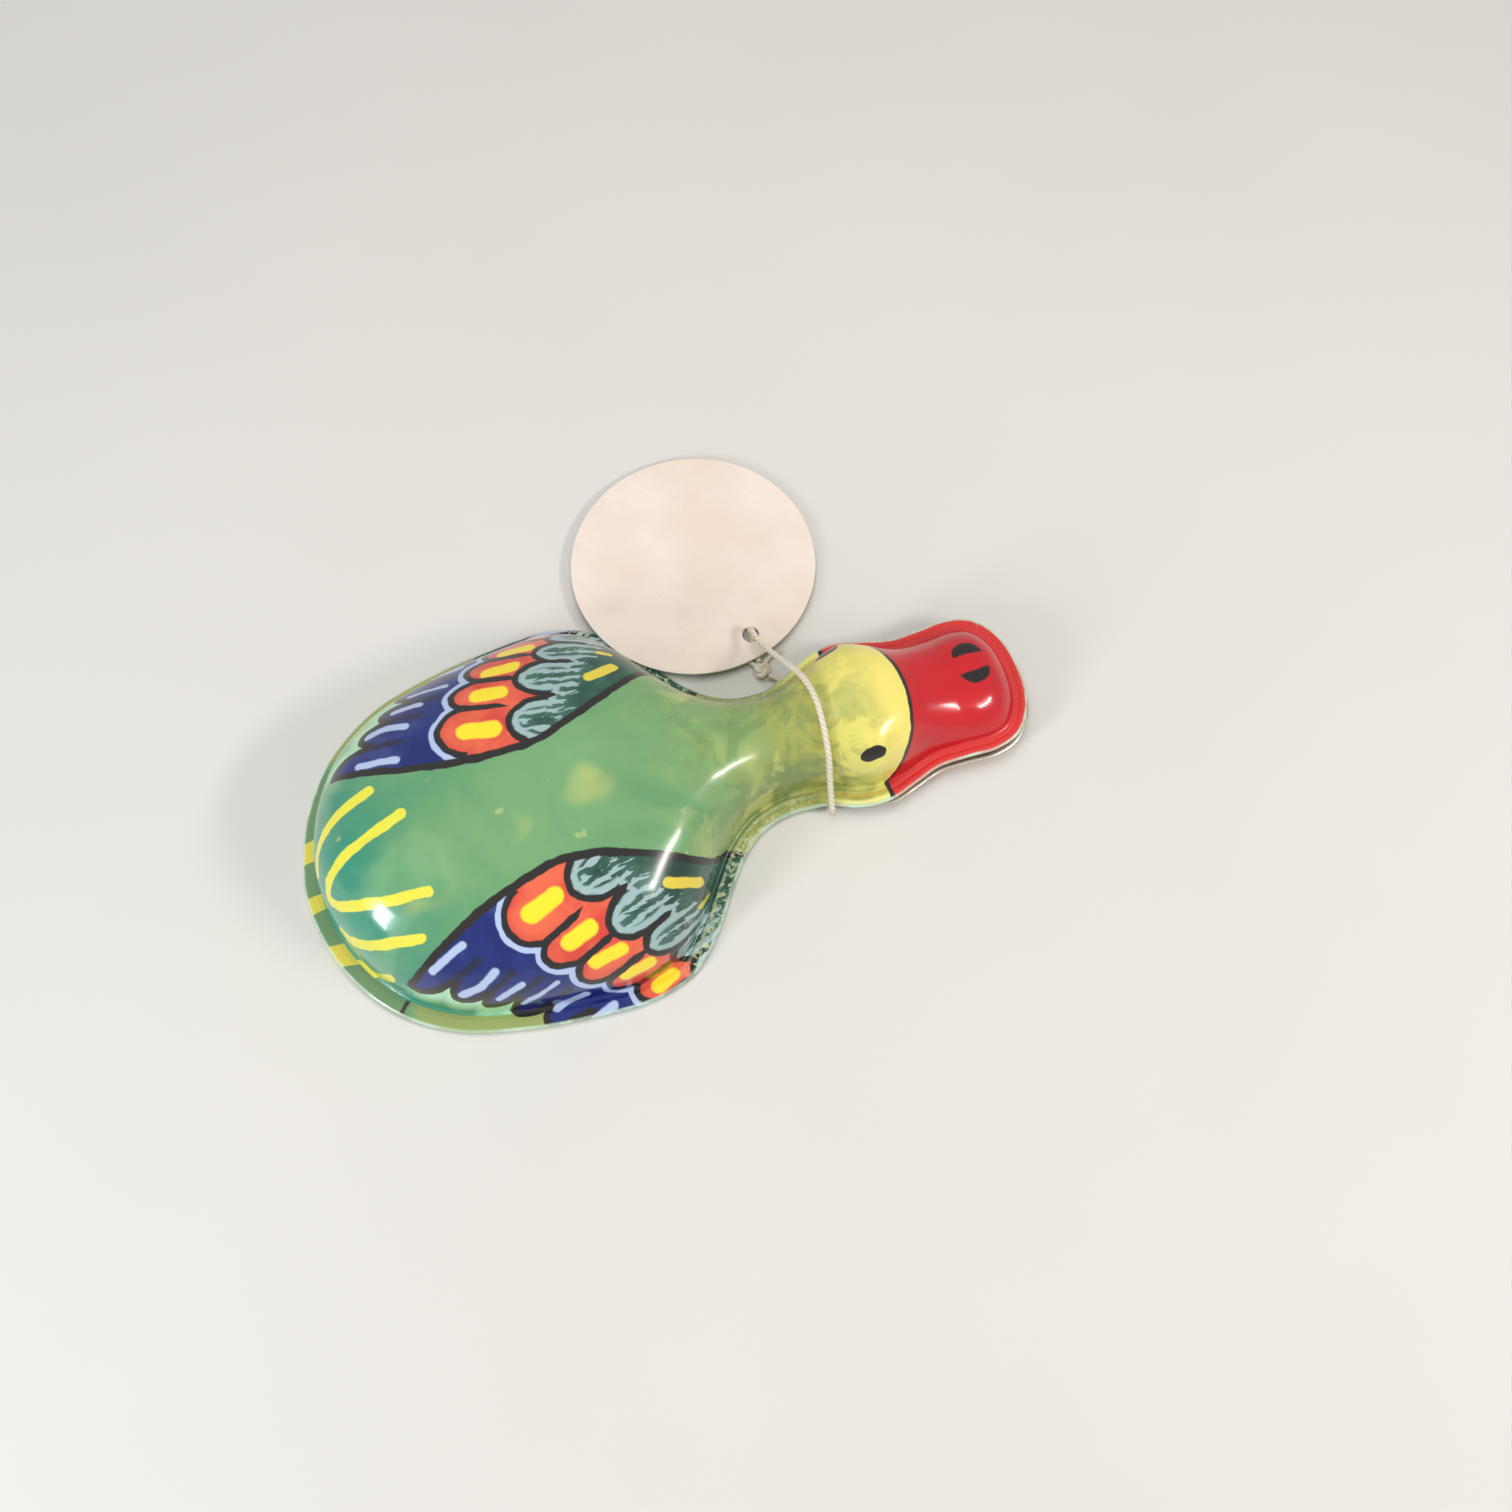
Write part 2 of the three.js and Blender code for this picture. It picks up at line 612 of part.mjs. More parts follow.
// Round card with a punched hole, which is its own origin
function hangTag() {
  const shape = new THREE.Shape();
  shape.absarc(tagRadius - tagHoleInset, 0, tagRadius, 0, 2 * Math.PI);
  const hole = new THREE.Path();
  hole.absarc(0, 0, tagHoleRadius, 0, 2 * Math.PI);
  shape.holes.push(hole);
  return sheet(shape, 0, tagSheet, tagArcs);
}

function placeTag(mesh) {
  const towards = THREE.MathUtils.degToRad(tagLeanTowards);
  const level = new THREE.Vector3(-Math.sin(towards), Math.cos(towards), 0);
  const lean = new THREE.Quaternion().setFromAxisAngle(level, THREE.MathUtils.degToRad(tagLean));
  const turn = new THREE.Quaternion().setFromAxisAngle(
    new THREE.Vector3(0, 0, 1), THREE.MathUtils.degToRad(tagTowards),
  );
  mesh.quaternion.copy(lean.multiply(turn));
  mesh.position.set(...tagHolePlace);
}

function neckCord() {
  return wire(cordRoute.map((p) => new THREE.Vector3(...p)), cordRadius, cordSides, cordSteps);
}

function cordKnot() {
  return new THREE.SphereGeometry(knotRadius, 10, 8).translate(...knotPlace);
}

// Materials
const paint = (color, roughness = 0.25, metalness = 0.1) => new THREE.MeshStandardMaterial({
  color, roughness, metalness,
});
const litho = paint(0x4f8a4c);
const goldLacquer = paint(0x9a7b2f, 0.35, 0.7);
const brightSteel = paint(0xb9bcbe, 0.35, 0.95);
const springSteel = paint(0x6f7680, 0.3, 0.95);
const cardFace = paint(0xe9dccb, 0.85, 0);
const cotton = paint(0xe8e0cf, 0.9, 0);

const duck = new THREE.Group();

function add(name, geometry, material) {
  const mesh = new THREE.Mesh(geometry, material);
  mesh.name = name;
  duck.add(mesh);
  return mesh;
}

add('body_shell', bodyShell(), litho);
add('belly_plate', bellyPlate(), goldLacquer);
add('lower_bill', lowerBill(), goldLacquer);
add('hinge_pin', hingePin(), brightSteel);
add('hinge_bracket', hingeBracket(), brightSteel);
add('return_spring', returnSpring(), springSteel);
add('clicker_reed', clickerReed(), springSteel);
for (const [side, label] of [[1, 'left'], [-1, 'right']]) {
  const saddleTop = plateTop + rivetPlay + saddleSheet;
  add(`bracket_rivet_${label}`, rivet(
    bracketRivetX, side * bracketRivetSpread, bracketHeadRadius, saddleTop + rivetPlay,
  ), brightSteel);
  const reedTop = reedBottom + reedSheet;
  add(`reed_rivet_${label}`, rivet(
    reedHinge, side * reedRivetSpread, rivetHeadRadius, reedTop + headGap, reedBottom - collarGap,
  ), brightSteel);
}

add('neck_cord', neckCord(), cotton);
add('cord_knot', cordKnot(), cotton);
placeTag(add('hang_tag', hangTag(), cardFace));

// The middle of the toy, jaw included, is over the origin
duck.position.x = -(duckLength + jawOverhang) / 2;

export default duck;
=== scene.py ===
# A printed tin duck clicker with its neck cord and card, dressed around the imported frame.
import random
from functools import reduce
from math import cos, dist, hypot, pi, radians, sin, sqrt
from types import SimpleNamespace

import bmesh
import bpy
from mathutils import Matrix, Vector


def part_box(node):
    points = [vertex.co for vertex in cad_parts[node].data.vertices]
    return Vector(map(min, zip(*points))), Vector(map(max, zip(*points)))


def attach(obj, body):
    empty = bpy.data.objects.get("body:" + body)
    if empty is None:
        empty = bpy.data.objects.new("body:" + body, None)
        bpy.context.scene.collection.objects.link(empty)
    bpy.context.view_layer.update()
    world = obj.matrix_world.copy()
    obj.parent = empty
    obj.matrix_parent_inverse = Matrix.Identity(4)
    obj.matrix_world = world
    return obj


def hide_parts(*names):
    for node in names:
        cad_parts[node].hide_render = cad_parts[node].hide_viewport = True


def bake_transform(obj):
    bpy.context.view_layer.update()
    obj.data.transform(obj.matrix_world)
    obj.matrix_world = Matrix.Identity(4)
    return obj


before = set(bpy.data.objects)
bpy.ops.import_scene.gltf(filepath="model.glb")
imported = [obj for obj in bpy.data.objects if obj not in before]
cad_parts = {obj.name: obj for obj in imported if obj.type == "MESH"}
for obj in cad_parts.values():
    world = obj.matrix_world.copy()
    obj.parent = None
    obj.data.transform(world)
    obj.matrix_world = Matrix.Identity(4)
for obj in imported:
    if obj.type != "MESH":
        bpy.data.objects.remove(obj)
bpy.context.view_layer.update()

# Millimetres along the toy are measured from the tail, as on the stamping's drawing
MM = 0.001
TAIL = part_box("body_shell")[0][0]

# The camera that took the photograph, fitted to the outline of the duck
IMAGE_SIDE = 1512
FOCAL_PIXELS = 1484
AIM = (72.5, 0, 0)
AIM_PIXEL = (667.3, 788.1)
CAMERA_DISTANCE = 293.3
CAMERA_AZIMUTH = -106.55
CAMERA_ELEVATION = 70.0
CAMERA_ROLL = -1.72
SENSOR = 36

# Form of the stamping: half widths, crown, brim and roundness, each at a distance from the tail
TIN = 0.4
SEAM_HEIGHT = 1.7
PLAN = [
    (0, 0), (1.0, 7.8), (4.2, 17.0), (10.8, 26.6), (21, 33.8), (34, 37.6), (47, 39.4), (58, 39.8),
    (66.5, 37.4), (73, 31.6), (78.2, 24.4), (83, 18.4), (88.5, 14.5), (95, 13.2), (101, 14.2),
    (107, 16.8), (113, 17.4), (118.5, 15.9), (124, 14.3), (130, 14.3), (136, 14.5), (141, 12.8),
    (144.8, 7.6), (146, 0),
]
CROWN = [
    (14, 21.8), (19, 23.4), (26, 24.7), (36, 25.7), (47, 26.0), (60, 25.0), (72, 22.4), (84, 19.3),
    (94, 17.8), (103, 18.8), (111, 20.4), (118, 19.2), (124, 15.9), (130, 13.8), (136, 13.0),
]
BRIM_WIDTH = [(0, 3.8), (90, 3.7), (106, 4.1), (114, 3.8), (120, 3.0), (146, 2.8)]
BRIM_RISE = [(0, 0), (97.2, 0), (100, 0.9), (104, 1.5), (112, 2.5), (122, 3.5), (134, 4.2), (146, 4.4)]
ROUNDNESS = [(0, 2.3), (80, 2.3), (112, 2.4), (122, 3.0), (146, 3.0)]
STEEPNESS = [
    (0, 2.0), (30, 2.2), (60, 2.4), (80, 2.3), (92, 2.6), (102, 3.0), (109, 4.0), (113, 3.8), (121, 1.5),
    (146, 1.35),
]
FOOT_RADIUS = [(0, 0.6), (112, 0.6), (120, 0.8), (146, 0.8)]
SPINE_TAIL = 26
SPINE_TIP = 130
FAN_SHARE = 0.3

# Edge of the stamping: a seam folded round the belly plate, and a plain rolled lip ahead of it
SEAM_END = (98.6, 100.4)
SEAM_REACH = 3.0
LIP_REACH = 0.75
LIP_DEPTH = 0.7
SEAM_SHEET = 0.33

# How finely the stamping's sections are cut
OUTLINE_STEPS = 14
DOME_RINGS = 30
FILLET_RINGS = 5
BRIM_RINGS = 10
NOSE_RINGS = 6
INNER_NOSE_RINGS = 4
INNER_RINGS = 12
PRINTED_RINGS = DOME_RINGS + 1 + FILLET_RINGS + BRIM_RINGS + NOSE_RINGS + 1

# How the flat printed sheet lies on the stamping
UNROLL = 0.6
PRINT_TURN = 0.067               # sine of the sheet's small turn in the press
PRINT_PIVOT = 110

# Lower bill, and its section: how far in from the rim, how far up from the floor to the rim,
# how much over that, and how deep the pinking cuts
JAW_BACK = 106
JAW_MIDDLE = 126
JAW_HALF = 15
JAW_OVERHANG = 0.6
JAW_TUCK = -0.25
JAW_GAPS = [(106, 0.35), (120, 1.1), (146, 1.9)]
JAW_DEPTHS = [(106, 0.9), (118, 2.0), (130, 2.9), (147, 2.9)]
PINKING_PITCH = 3.0
PAN_SECTION = [
    (10.5, 0, TIN, 0), (7.0, 0, TIN, 0), (4.2, 0, TIN + 0.05, 0), (3.5, 0, TIN + 0.3, 0),
    (2.4, 0.5, 0.3, 0), (1.95, 1, -0.55, 0), (1.5, 1, -0.22, 0.25), (1.35, 1, -0.06, 0.2),
    (1.1, 1, 0, 0.1), (0.5, 1, 0.02, 0), (0.15, 1, -0.03, 0), (0, 1, -0.2, 0), (0.15, 1, -0.37, 0),
    (0.6, 1, -TIN, 0), (1.3, 1, -TIN - 0.05, 0), (1.9, 1, -TIN - 0.5, 0), (2.7, 0.5, -0.1, 0),
    (3.4, 0, 0.12, 0), (4.2, 0, 0, 0), (7.0, 0, 0, 0), (10.5, 0, 0, 0),
]
PAN_GOLD_BANDS = 6
PAN_BARE_BANDS = 15
LEVER_FRONT = 108.6
LEVER_HALF_WIDTH = 6.4

# Belly window, spring tongue, hinge and spring
WINDOW_BACK = 27
WINDOW_FRONT = 63
WINDOW_HALF_WIDTH = 11
WINDOW_CORNER = 7
WINDOW_LIP = 0.42
WINDOW_LIP_PLACE = (0.3, 0.85)
TONGUE_BACK = 17.5
TONGUE_LENGTH = 44.5
TONGUE_CUTS = 60
HINGE = (98, 0, 5.4)
SPRING_WIRE = 0.25
SPRING_ARM_HEIGHT = 3.3
COIL_RADIUS = 1.35
COIL_TURNS = 3
COIL_PITCH = 0.75

# Rivets: how far along, how far to each side, radius of the head, and the sheets' upper and lower face
SADDLE_RIVET = (88.5, 5.4, 1.3, 1.75, 0.55)
REED_RIVET = (20.5, 3.6, 1.8, 2.35, 0.55)
RIVET_SHANK = 0.9

# Cord: its route, its strands and its knot
CORD_RADIUS = 0.6
CORD_ROUTE = [
    (98.05, 19.5, 1.0), (98.1, 21.2, 0.7), (98.15, 23.4, 0.68), (98.2, 24.9, 1.02), (98.2, 25.75, 1.9),
    (98.2, 26.0, 3.1), (98.25, 25.6, 4.3), (98.35, 24.7, 5.2), (98.5, 23.2, 5.8), (99.2, 20.6, 6.8),
    (100.3, 16.8, 9.3), (101.4, 13.1, 12.4), (102.3, 9.8, 15.5), (102.8, 6.5, 18.3), (103.2, 3.1, 19.8),
    (103.3, 0, 20.2), (103.1, -3.1, 19.8), (102.8, -6.5, 18.35), (102.5, -9.3, 15.6), (102.1, -11.5, 11.0),
    (101.8, -13.5, 6.4), (101.6, -15.0, 3.7), (101.6, -15.3, 2.6), (101.6, -15.0, 1.6), (101.6, -14.2, 0.95),
    (101.5, -12.9, 0.7), (101.3, -9.0, 0.66), (101.2, -3.0, 0.66), (101.2, 3.0, 0.66), (101.3, 9.0, 0.66),
    (101.4, 12.6, 0.68), (100.9, 14.4, 0.75), (99.8, 15.6, 0.95), (98.9, 16.0, 1.15),
]
STRANDS = 3
TWIST_PITCH = 3.4
STRAND_DEPTH = 0.13
KNOT_PLACE = (98.0, 17.6, 1.55)
KNOT_CORD = 0.5
KNOT_STEPS = 96
KNOT_ENDS = [
    [(98.5, 18.2, 1.2), (99.3, 19.3, 0.8), (100.6, 20.2, 0.6), (102.0, 20.6, 0.55)],
    [(97.5, 18.4, 1.2), (96.8, 19.6, 0.8), (95.9, 20.9, 0.6), (95.4, 22.2, 0.55)],
]
FRAYED_HAIRS = 16

# Card
TAG_RADIUS = 25.4
TAG_SHEET = 0.5
TAG_WORN = 0.1
TAG_HOLE_RADIUS = 1.7
TAG_HOLE_INSET = 5
TAG_HOLE_PLACE = (98.2, 25.57, 1.58)
TAG_TOWARDS = 107.7
TAG_LEAN = 1.9
TAG_LEAN_TOWARDS = 52.6
TAG_SEGMENTS = 128


def at(x, y, z):
    """A place on the drawing, in millimetres from the tail, as a place in the frame."""
    return Vector((TAIL + x * MM, y * MM, z * MM))


def through(stations, x):
    """Smooth value through stations, flat beyond the ends."""
    last = len(stations) - 1
    if x <= stations[0][0]:
        return stations[0][1]
    if x >= stations[last][0]:
        return stations[last][1]
    i = next(k for k, s in enumerate(stations) if s[0] > x) - 1

    def slope(k):
        if k in (0, last):
            return 0
        a, b = stations[k - 1], stations[k + 1]
        return (b[1] - a[1]) / (b[0] - a[0])

    (x0, y0), (x1, y1) = stations[i], stations[i + 1]
    span = x1 - x0
    t = (x - x0) / span
    rise = 3 * t * t - 2 * t ** 3
    return y0 + (y1 - y0) * rise + span * t * (1 - t) * (slope(i) * (1 - t) - slope(i + 1) * t)


def smooth_between(low, high, x):
    t = min(max((x - low) / (high - low), 0), 1)
    return t * t * (3 - 2 * t)


def catmull(four, t):
    """Place and direction on the centripetal curve between the middle two of four points."""
    d0, d1, d2 = (max(dist(a, b) ** 0.5, 1e-6) for a, b in zip(four, four[1:]))
    place, along = [], []
    for a, b, c, d in zip(*four):
        m1 = ((b - a) / d0 - (c - a) / (d0 + d1) + (c - b) / d1) * d1
        m2 = ((c - b) / d1 - (d - b) / (d1 + d2) + (d - c) / d2) * d1
        c2 = -3 * b + 3 * c - 2 * m1 - m2
        c3 = 2 * b - 2 * c + m1 + m2
        place.append(b + m1 * t + c2 * t * t + c3 * t ** 3)
        along.append(m1 + 2 * c2 * t + 3 * c3 * t * t)
    return place, along


def spline(points, step):
    """Places in the frame, every step millimetres or so along a smooth curve through points."""
    before = tuple(2 * a - b for a, b in zip(points[0], points[1]))
    beyond = tuple(2 * a - b for a, b in zip(points[-1], points[-2]))
    line = [before, *points, beyond]
    result = []
    for i in range(1, len(line) - 2):
        count = max(round(dist(line[i], line[i + 1]) / step), 1)
        result += [catmull(line[i - 1:i + 3], k / count)[0] for k in range(count)]
    return [at(*p) for p in result + [points[-1]]]


def plan_outline(steps):
    """Outer edge of the brim: closed and smooth, with inward normals and the length run so far."""
    loop = PLAN + [(x, -y) for x, y in reversed(PLAN[1:-1])]
    count = len(loop)
    points = []
    run = 0
    for i in range(count):
        four = [loop[(i + k) % count] for k in (-1, 0, 1, 2)]
        for k in range(steps):
            (x, y), (dx, dy) = catmull(four, k / steps)
            size = hypot(dx, dy)
            if points:
                run += dist((x, y), points[-1][:2])
            points.append((x, y, dy / size, -dx / size, run))
    return points


# Piece helpers
def new_form():
    """An empty bmesh whose vertices can carry their number along a ring."""
    bm = bmesh.new()
    bm.verts.layers.int.new("station")
    return bm


def finish_piece(name, bm, materials, smooth=True, sharp_degrees=None):
    """Turns a bmesh into an object at the origin with its materials."""
    mesh = bpy.data.meshes.new(name)
    for face in bm.faces:
        face.smooth = smooth
    bm.to_mesh(mesh)
    bm.free()
    if sharp_degrees:
        mesh.set_sharp_from_angle(angle=radians(sharp_degrees))
    for material in materials:
        mesh.materials.append(material)
    piece = bpy.data.objects.new(name, mesh)
    bpy.context.scene.collection.objects.link(piece)
    return piece


def loft(bm, rings, material_of=None):
    """Extrudes a loop of points ring by ring. Returns each ring's vertices in order."""
    number = bm.verts.layers.int["station"]
    first = []
    for i, point in enumerate(rings[0]):
        vert = bm.verts.new(point)
        vert[number] = i
        first.append(vert)
    count = len(first)
    edges = [bm.edges.new((first[i], first[(i + 1) % count])) for i in range(count)]
    made = [first]
    for k, ring in enumerate(rings[1:]):
        grown = bmesh.ops.extrude_edge_only(bm, edges=edges)["geom"]
        verts = [g for g in grown if isinstance(g, bmesh.types.BMVert)]
        fresh = set(verts)
        for vert in verts:
            vert.co = ring[vert[number]]
        edges = [g for g in grown if isinstance(g, bmesh.types.BMEdge) and fresh.issuperset(g.verts)]
        if material_of:
            for g in grown:
                if isinstance(g, bmesh.types.BMFace):
                    g.material_index = material_of(k)
        made.append(sorted(verts, key=lambda v: v[number]))
    return made


def close_loft(bm, rings):
    """A loft that runs back into its own first ring."""
    made = loft(bm, rings + rings[:1])
    bmesh.ops.remove_doubles(bm, verts=made[0] + made[-1], dist=1e-7)
    bmesh.ops.recalc_face_normals(bm, faces=bm.faces)


def tube(bm, points, radius_at, sides):
    """A tube with closed ends along points in the frame, with a steady section."""
    rings = []
    side = None
    for i, point in enumerate(points):
        ahead = (points[min(i + 1, len(points) - 1)] - points[max(i - 1, 0)]).normalized()
        if side is None:
            side = ahead.orthogonal().normalized()
        side = (side - ahead * side.dot(ahead)).normalized()
        other = ahead.cross(side)
        ring = []
        for k in range(sides):
            angle = 2 * pi * k / sides
            radius = radius_at(i, angle) * MM
            ring.append(point + side * radius * cos(angle) + other * radius * sin(angle))
        rings.append(ring)
    made = loft(bm, rings)
    for ring in (made[0], made[-1]):
        bm.faces.new(ring)
    return made


def frame_copy(node):
    """A merged copy of a frame node's mesh."""
    bm = bmesh.new()
    bm.from_mesh(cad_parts[node].data)
    bmesh.ops.remove_doubles(bm, verts=bm.verts, dist=1e-7)
    bmesh.ops.dissolve_limit(
        bm, angle_limit=radians(1), use_dissolve_boundaries=False, verts=bm.verts, edges=bm.edges,
    )
    return bm


def cut(bm, place, outward, clear=False):
    geometry = bm.verts[:] + bm.edges[:] + bm.faces[:]
    bmesh.ops.bisect_plane(bm, geom=geometry, plane_co=place, plane_no=outward, clear_outer=clear)


def softened_copy(name, node, material, width):
    """A frame node's own shape with its edges worn round."""
    piece = finish_piece(name, frame_copy(node), [material], smooth=False)
    bevel = piece.modifiers.new("worn edges", "BEVEL")
    bevel.width = width * MM
    bevel.segments = 2
    bevel.limit_method = "ANGLE"
    bevel.angle_limit = radians(35)
    return piece


# Shader helpers
def tone(red, green, blue):
    """A colour given as it looks on screen, from 0 to 255, for a node."""
    def linear(value):
        share = value / 255
        return share / 12.92 if share <= 0.04045 else ((share + 0.055) / 1.055) ** 2.4
    return linear(red), linear(green), linear(blue), 1


class Net:
    """A node tree that is written as sums of sockets and numbers."""

    def __init__(self, tree):
        self.tree = tree

    def put(self, socket, value):
        if isinstance(value, bpy.types.NodeSocket):
            self.tree.links.new(value, socket)
        else:
            socket.default_value = value

    def node(self, kind, inputs=(), **settings):
        """The outputs of a new shader node, whose inputs are given by name or in their order."""
        made = self.tree.nodes.new("ShaderNode" + kind)
        for name, value in settings.items():
            setattr(made, name, value)
        for socket, value in inputs.items() if isinstance(inputs, dict) else enumerate(inputs):
            self.put(made.inputs[socket], value)
        return made.outputs

    def math(self, operation, *values):
        return self.node("Math", values, operation=operation)[0]

    def minus(self, value, less):
        return self.math("SUBTRACT", value, less)

    def divided(self, value, share):
        return self.math("DIVIDE", value, share)

    def fold(self, operation, values):
        return reduce(lambda total, value: self.math(operation, total, value), values)

    def add(self, *values):
        return self.fold("ADD", values)

    def times(self, *values):
        return self.fold("MULTIPLY", values)

    def least(self, *values):
        return self.fold("MINIMUM", values)

    def most(self, *values):
        return self.fold("MAXIMUM", values)

    def vector(self, operation, *values):
        made = self.node("VectorMath", values, operation=operation)
        return made["Value" if operation in ("LENGTH", "DOT_PRODUCT") else "Vector"]

    def scaled(self, vector, factor):
        return self.node("VectorMath", {0: vector, "Scale": factor}, operation="SCALE")[0]

    def fade(self, value, start, end, low=0, high=1):
        """Goes smoothly from low, at start, to high, at end."""
        return self.node("MapRange", (value, start, end, low, high), interpolation_type="SMOOTHSTEP")[0]

    def inside(self, distance, edge=0, soft=0.12):
        """One where a distance is below an edge, with a thin soft border."""
        return self.fade(distance, edge + soft, edge - soft)

    def line(self, distance, half_width, middle=0, soft=0.12):
        return self.inside(self.math("ABSOLUTE", self.minus(distance, middle)), half_width, soft)

    def mix(self, mask, below, above):
        return self.node("Mix", {0: mask, 6: below, 7: above}, data_type="RGBA", clamp_factor=True)[2]

    def paint(self, colour, *coats):
        """Lays coats, each a mask and a colour, over a colour one after another."""
        for mask, coat in coats:
            colour = self.mix(mask, colour, coat)
        return colour

    def noise(self, vector, scale, detail=2, roughness=0.5, distortion=0, output=0):
        return self.node("TexNoise", {
            "Vector": vector, "Scale": scale, "Detail": detail, "Roughness": roughness,
            "Distortion": distortion,
        })[output]

    def brushed(self, place, stretch, detail=3, roughness=0.6):
        """Noise drawn out by different scales along the three axes."""
        return self.noise(self.vector("MULTIPLY", place, stretch), 1, detail, roughness)

    def object_place(self):
        return self.node("TexCoord")["Object"]

    def attribute(self, name):
        return self.node("Attribute", attribute_name=name, attribute_type="GEOMETRY")

    def split(self, vector):
        return self.node("SeparateXYZ", [vector])

    def joined(self, x, y):
        return self.node("CombineXYZ", (x, y, 0))[0]

    def ramp(self, value, stops):
        made = self.tree.nodes.new("ShaderNodeValToRGB")
        self.put(made.inputs[0], value)
        elements = made.color_ramp.elements
        while len(elements) < len(stops):
            elements.new(0.5)
        for element, (place, colour) in zip(elements, stops):
            element.position = place
            element.color = colour
        return made.outputs[0]

    def bump(self, height, distance, strength):
        return self.node("Bump", {"Height": height, "Distance": distance, "Strength": strength})[0]

    def group(self, tree, **inputs):
        made = self.tree.nodes.new("ShaderNodeGroup")
        made.node_tree = tree
        for name, value in inputs.items():
            self.put(made.inputs[name.replace("_", " ").capitalize()], value)
        return made.outputs

    def surface(self, values):
        """Puts values on the material's own shader, by the names of its sockets."""
        shader = self.tree.nodes["Principled BSDF"]
        for name, value in values.items():
            self.put(shader.inputs[name], value)


def new_material(name):
    material = bpy.data.materials.new(name)
    material.use_nodes = True
    return material, Net(material.node_tree)


def new_group(name, inputs, outputs):
    """An empty shader node group with named sockets of given kinds."""
    tree = bpy.data.node_groups.new(name, "ShaderNodeTree")
    for side, sockets in (("INPUT", inputs), ("OUTPUT", outputs)):
        for socket, kind in sockets.items():
            tree.interface.new_socket(name=socket, in_out=side, socket_type="NodeSocket" + kind)
    taken = tree.nodes.new("NodeGroupInput").outputs
    given = tree.nodes.new("NodeGroupOutput").inputs
    return tree, Net(tree), taken, given


def brush_stroke_group():
    """Distance from a straight stroke between two places on the print, less its half width."""
    tree, net, taken, given = new_group(
        "brush stroke", {"Place": "Vector", "Start": "Vector", "End": "Vector", "Half width": "Float"},
        {"Distance": "Float"},
    )
    offset = net.vector("SUBTRACT", taken["Place"], taken["Start"])
    along = net.vector("SUBTRACT", taken["End"], taken["Start"])
    share = net.divided(net.vector("DOT_PRODUCT", offset, along), net.vector("DOT_PRODUCT", along, along))
    held = net.node("Clamp", [share])[0]
    nearest = net.vector("SUBTRACT", offset, net.scaled(along, held))
    net.put(given["Distance"], net.minus(net.vector("LENGTH", nearest), taken["Half width"]))
    return tree


def feather_end_group():
    """Distance from the oval end of a feather, below zero inside it."""
    tree, net, taken, given = new_group(
        "feather end", {"Place": "Vector", "Middle": "Vector", "Along": "Vector", "Half length": "Float",
                        "Half width": "Float"}, {"Distance": "Float"},
    )
    offset = net.vector("SUBTRACT", taken["Place"], taken["Middle"])
    parts = net.split(taken["Along"])
    sideways = net.joined(net.times(parts["Y"], -1), parts["X"])
    along = net.divided(net.vector("DOT_PRODUCT", offset, taken["Along"]), taken["Half length"])
    across = net.divided(net.vector("DOT_PRODUCT", offset, sideways), taken["Half width"])
    size = net.vector("LENGTH", net.joined(along, across))
    steep = net.joined(net.divided(along, taken["Half length"]), net.divided(across, taken["Half width"]))
    slope = net.add(net.vector("LENGTH", steep), 0.0001)
    net.put(given["Distance"], net.divided(net.times(size, net.minus(size, 1)), slope))
    return tree


def lacquer_surface_group():
    """Fine orange peel, dust specks and soft handling marks shared by the lacquered sheets."""
    tree, net, taken, given = new_group(
        "lacquered sheet", {"Place": "Vector", "Gloss": "Float"},
        {"Roughness": "Float", "Height": "Float", "Grime": "Float"},
    )
    place = taken["Place"]
    peel = net.noise(place, 900)
    waves = net.noise(place, 130)
    smears = net.noise(place, 60, 4, 0.6)
    dust = net.fade(net.node("TexVoronoi", {"Vector": place, "Scale": 420})["Distance"], 0.12, 0.06)
    lonely = net.fade(net.noise(place, 300, 0), 0.62, 0.7)
    rough = net.add(net.fade(smears, 0.4, 0.75, 0, 0.1), net.times(dust, lonely, 0.2))
    net.put(given["Roughness"], net.add(taken["Gloss"], rough))
    net.put(given["Height"], net.add(net.times(peel, 0.25), net.times(waves, 0.75)))
    net.put(given["Grime"], net.fade(smears, 0.5, 0.8))
    return tree


STROKE = brush_stroke_group()
FEATHER = feather_end_group()
SHEET = lacquer_surface_group()

# Colours of the print
INK = tone(30, 27, 27)
LEAF = tone(114, 164, 111)
SEA = tone(24, 154, 132)
STRAW = tone(246, 230, 120)
SUN = tone(250, 226, 44)
LEMON = tone(230, 224, 72)
# The lemon strokes' yellow made darker, as painted shade where they run onto the brim
OCHRE_IN_PAINTED_SHADE = tone(222, 206, 78)
NAVY = tone(4, 28, 106)
DUSK = tone(66, 76, 124)
ICE = tone(178, 196, 230)
CORAL = tone(232, 104, 72)
EMBER = tone(212, 66, 54)
PINE = tone(20, 62, 48)
MIST = tone(164, 192, 194)
CHERRY = tone(200, 14, 28)
MINT = tone(196, 226, 206)

# Feathers of one wing on the flat print: the middle, half length and half width of each rounded end.
# Every feather lies along one slant, and the rows are trimmed by straight lines behind and ahead of them.
FEATHER_SLANT = (0.957, -0.29, 0)
FLIGHT_FEATHERS = [
    (22.9, 19.6, 9, 4.3), (29.8, 24.9, 8.5, 3.3), (34.4, 28.8, 8.4, 2.5), (38.3, 33.6, 8.4, 3.2),
    (43.1, 38.2, 8.4, 3.1), (49, 42.6, 8.4, 3.2), (55, 47, 8.4, 3.2),
]
SCALLOPS = [
    (43.1, 17.9, 7.6, 5.6), (47.1, 24.9, 7.3, 3.9), (51, 30.6, 7, 3.6), (55.3, 35.4, 7, 3.3),
    (59.3, 40.2, 7, 3.5), (63.2, 45, 7, 3.6),
]
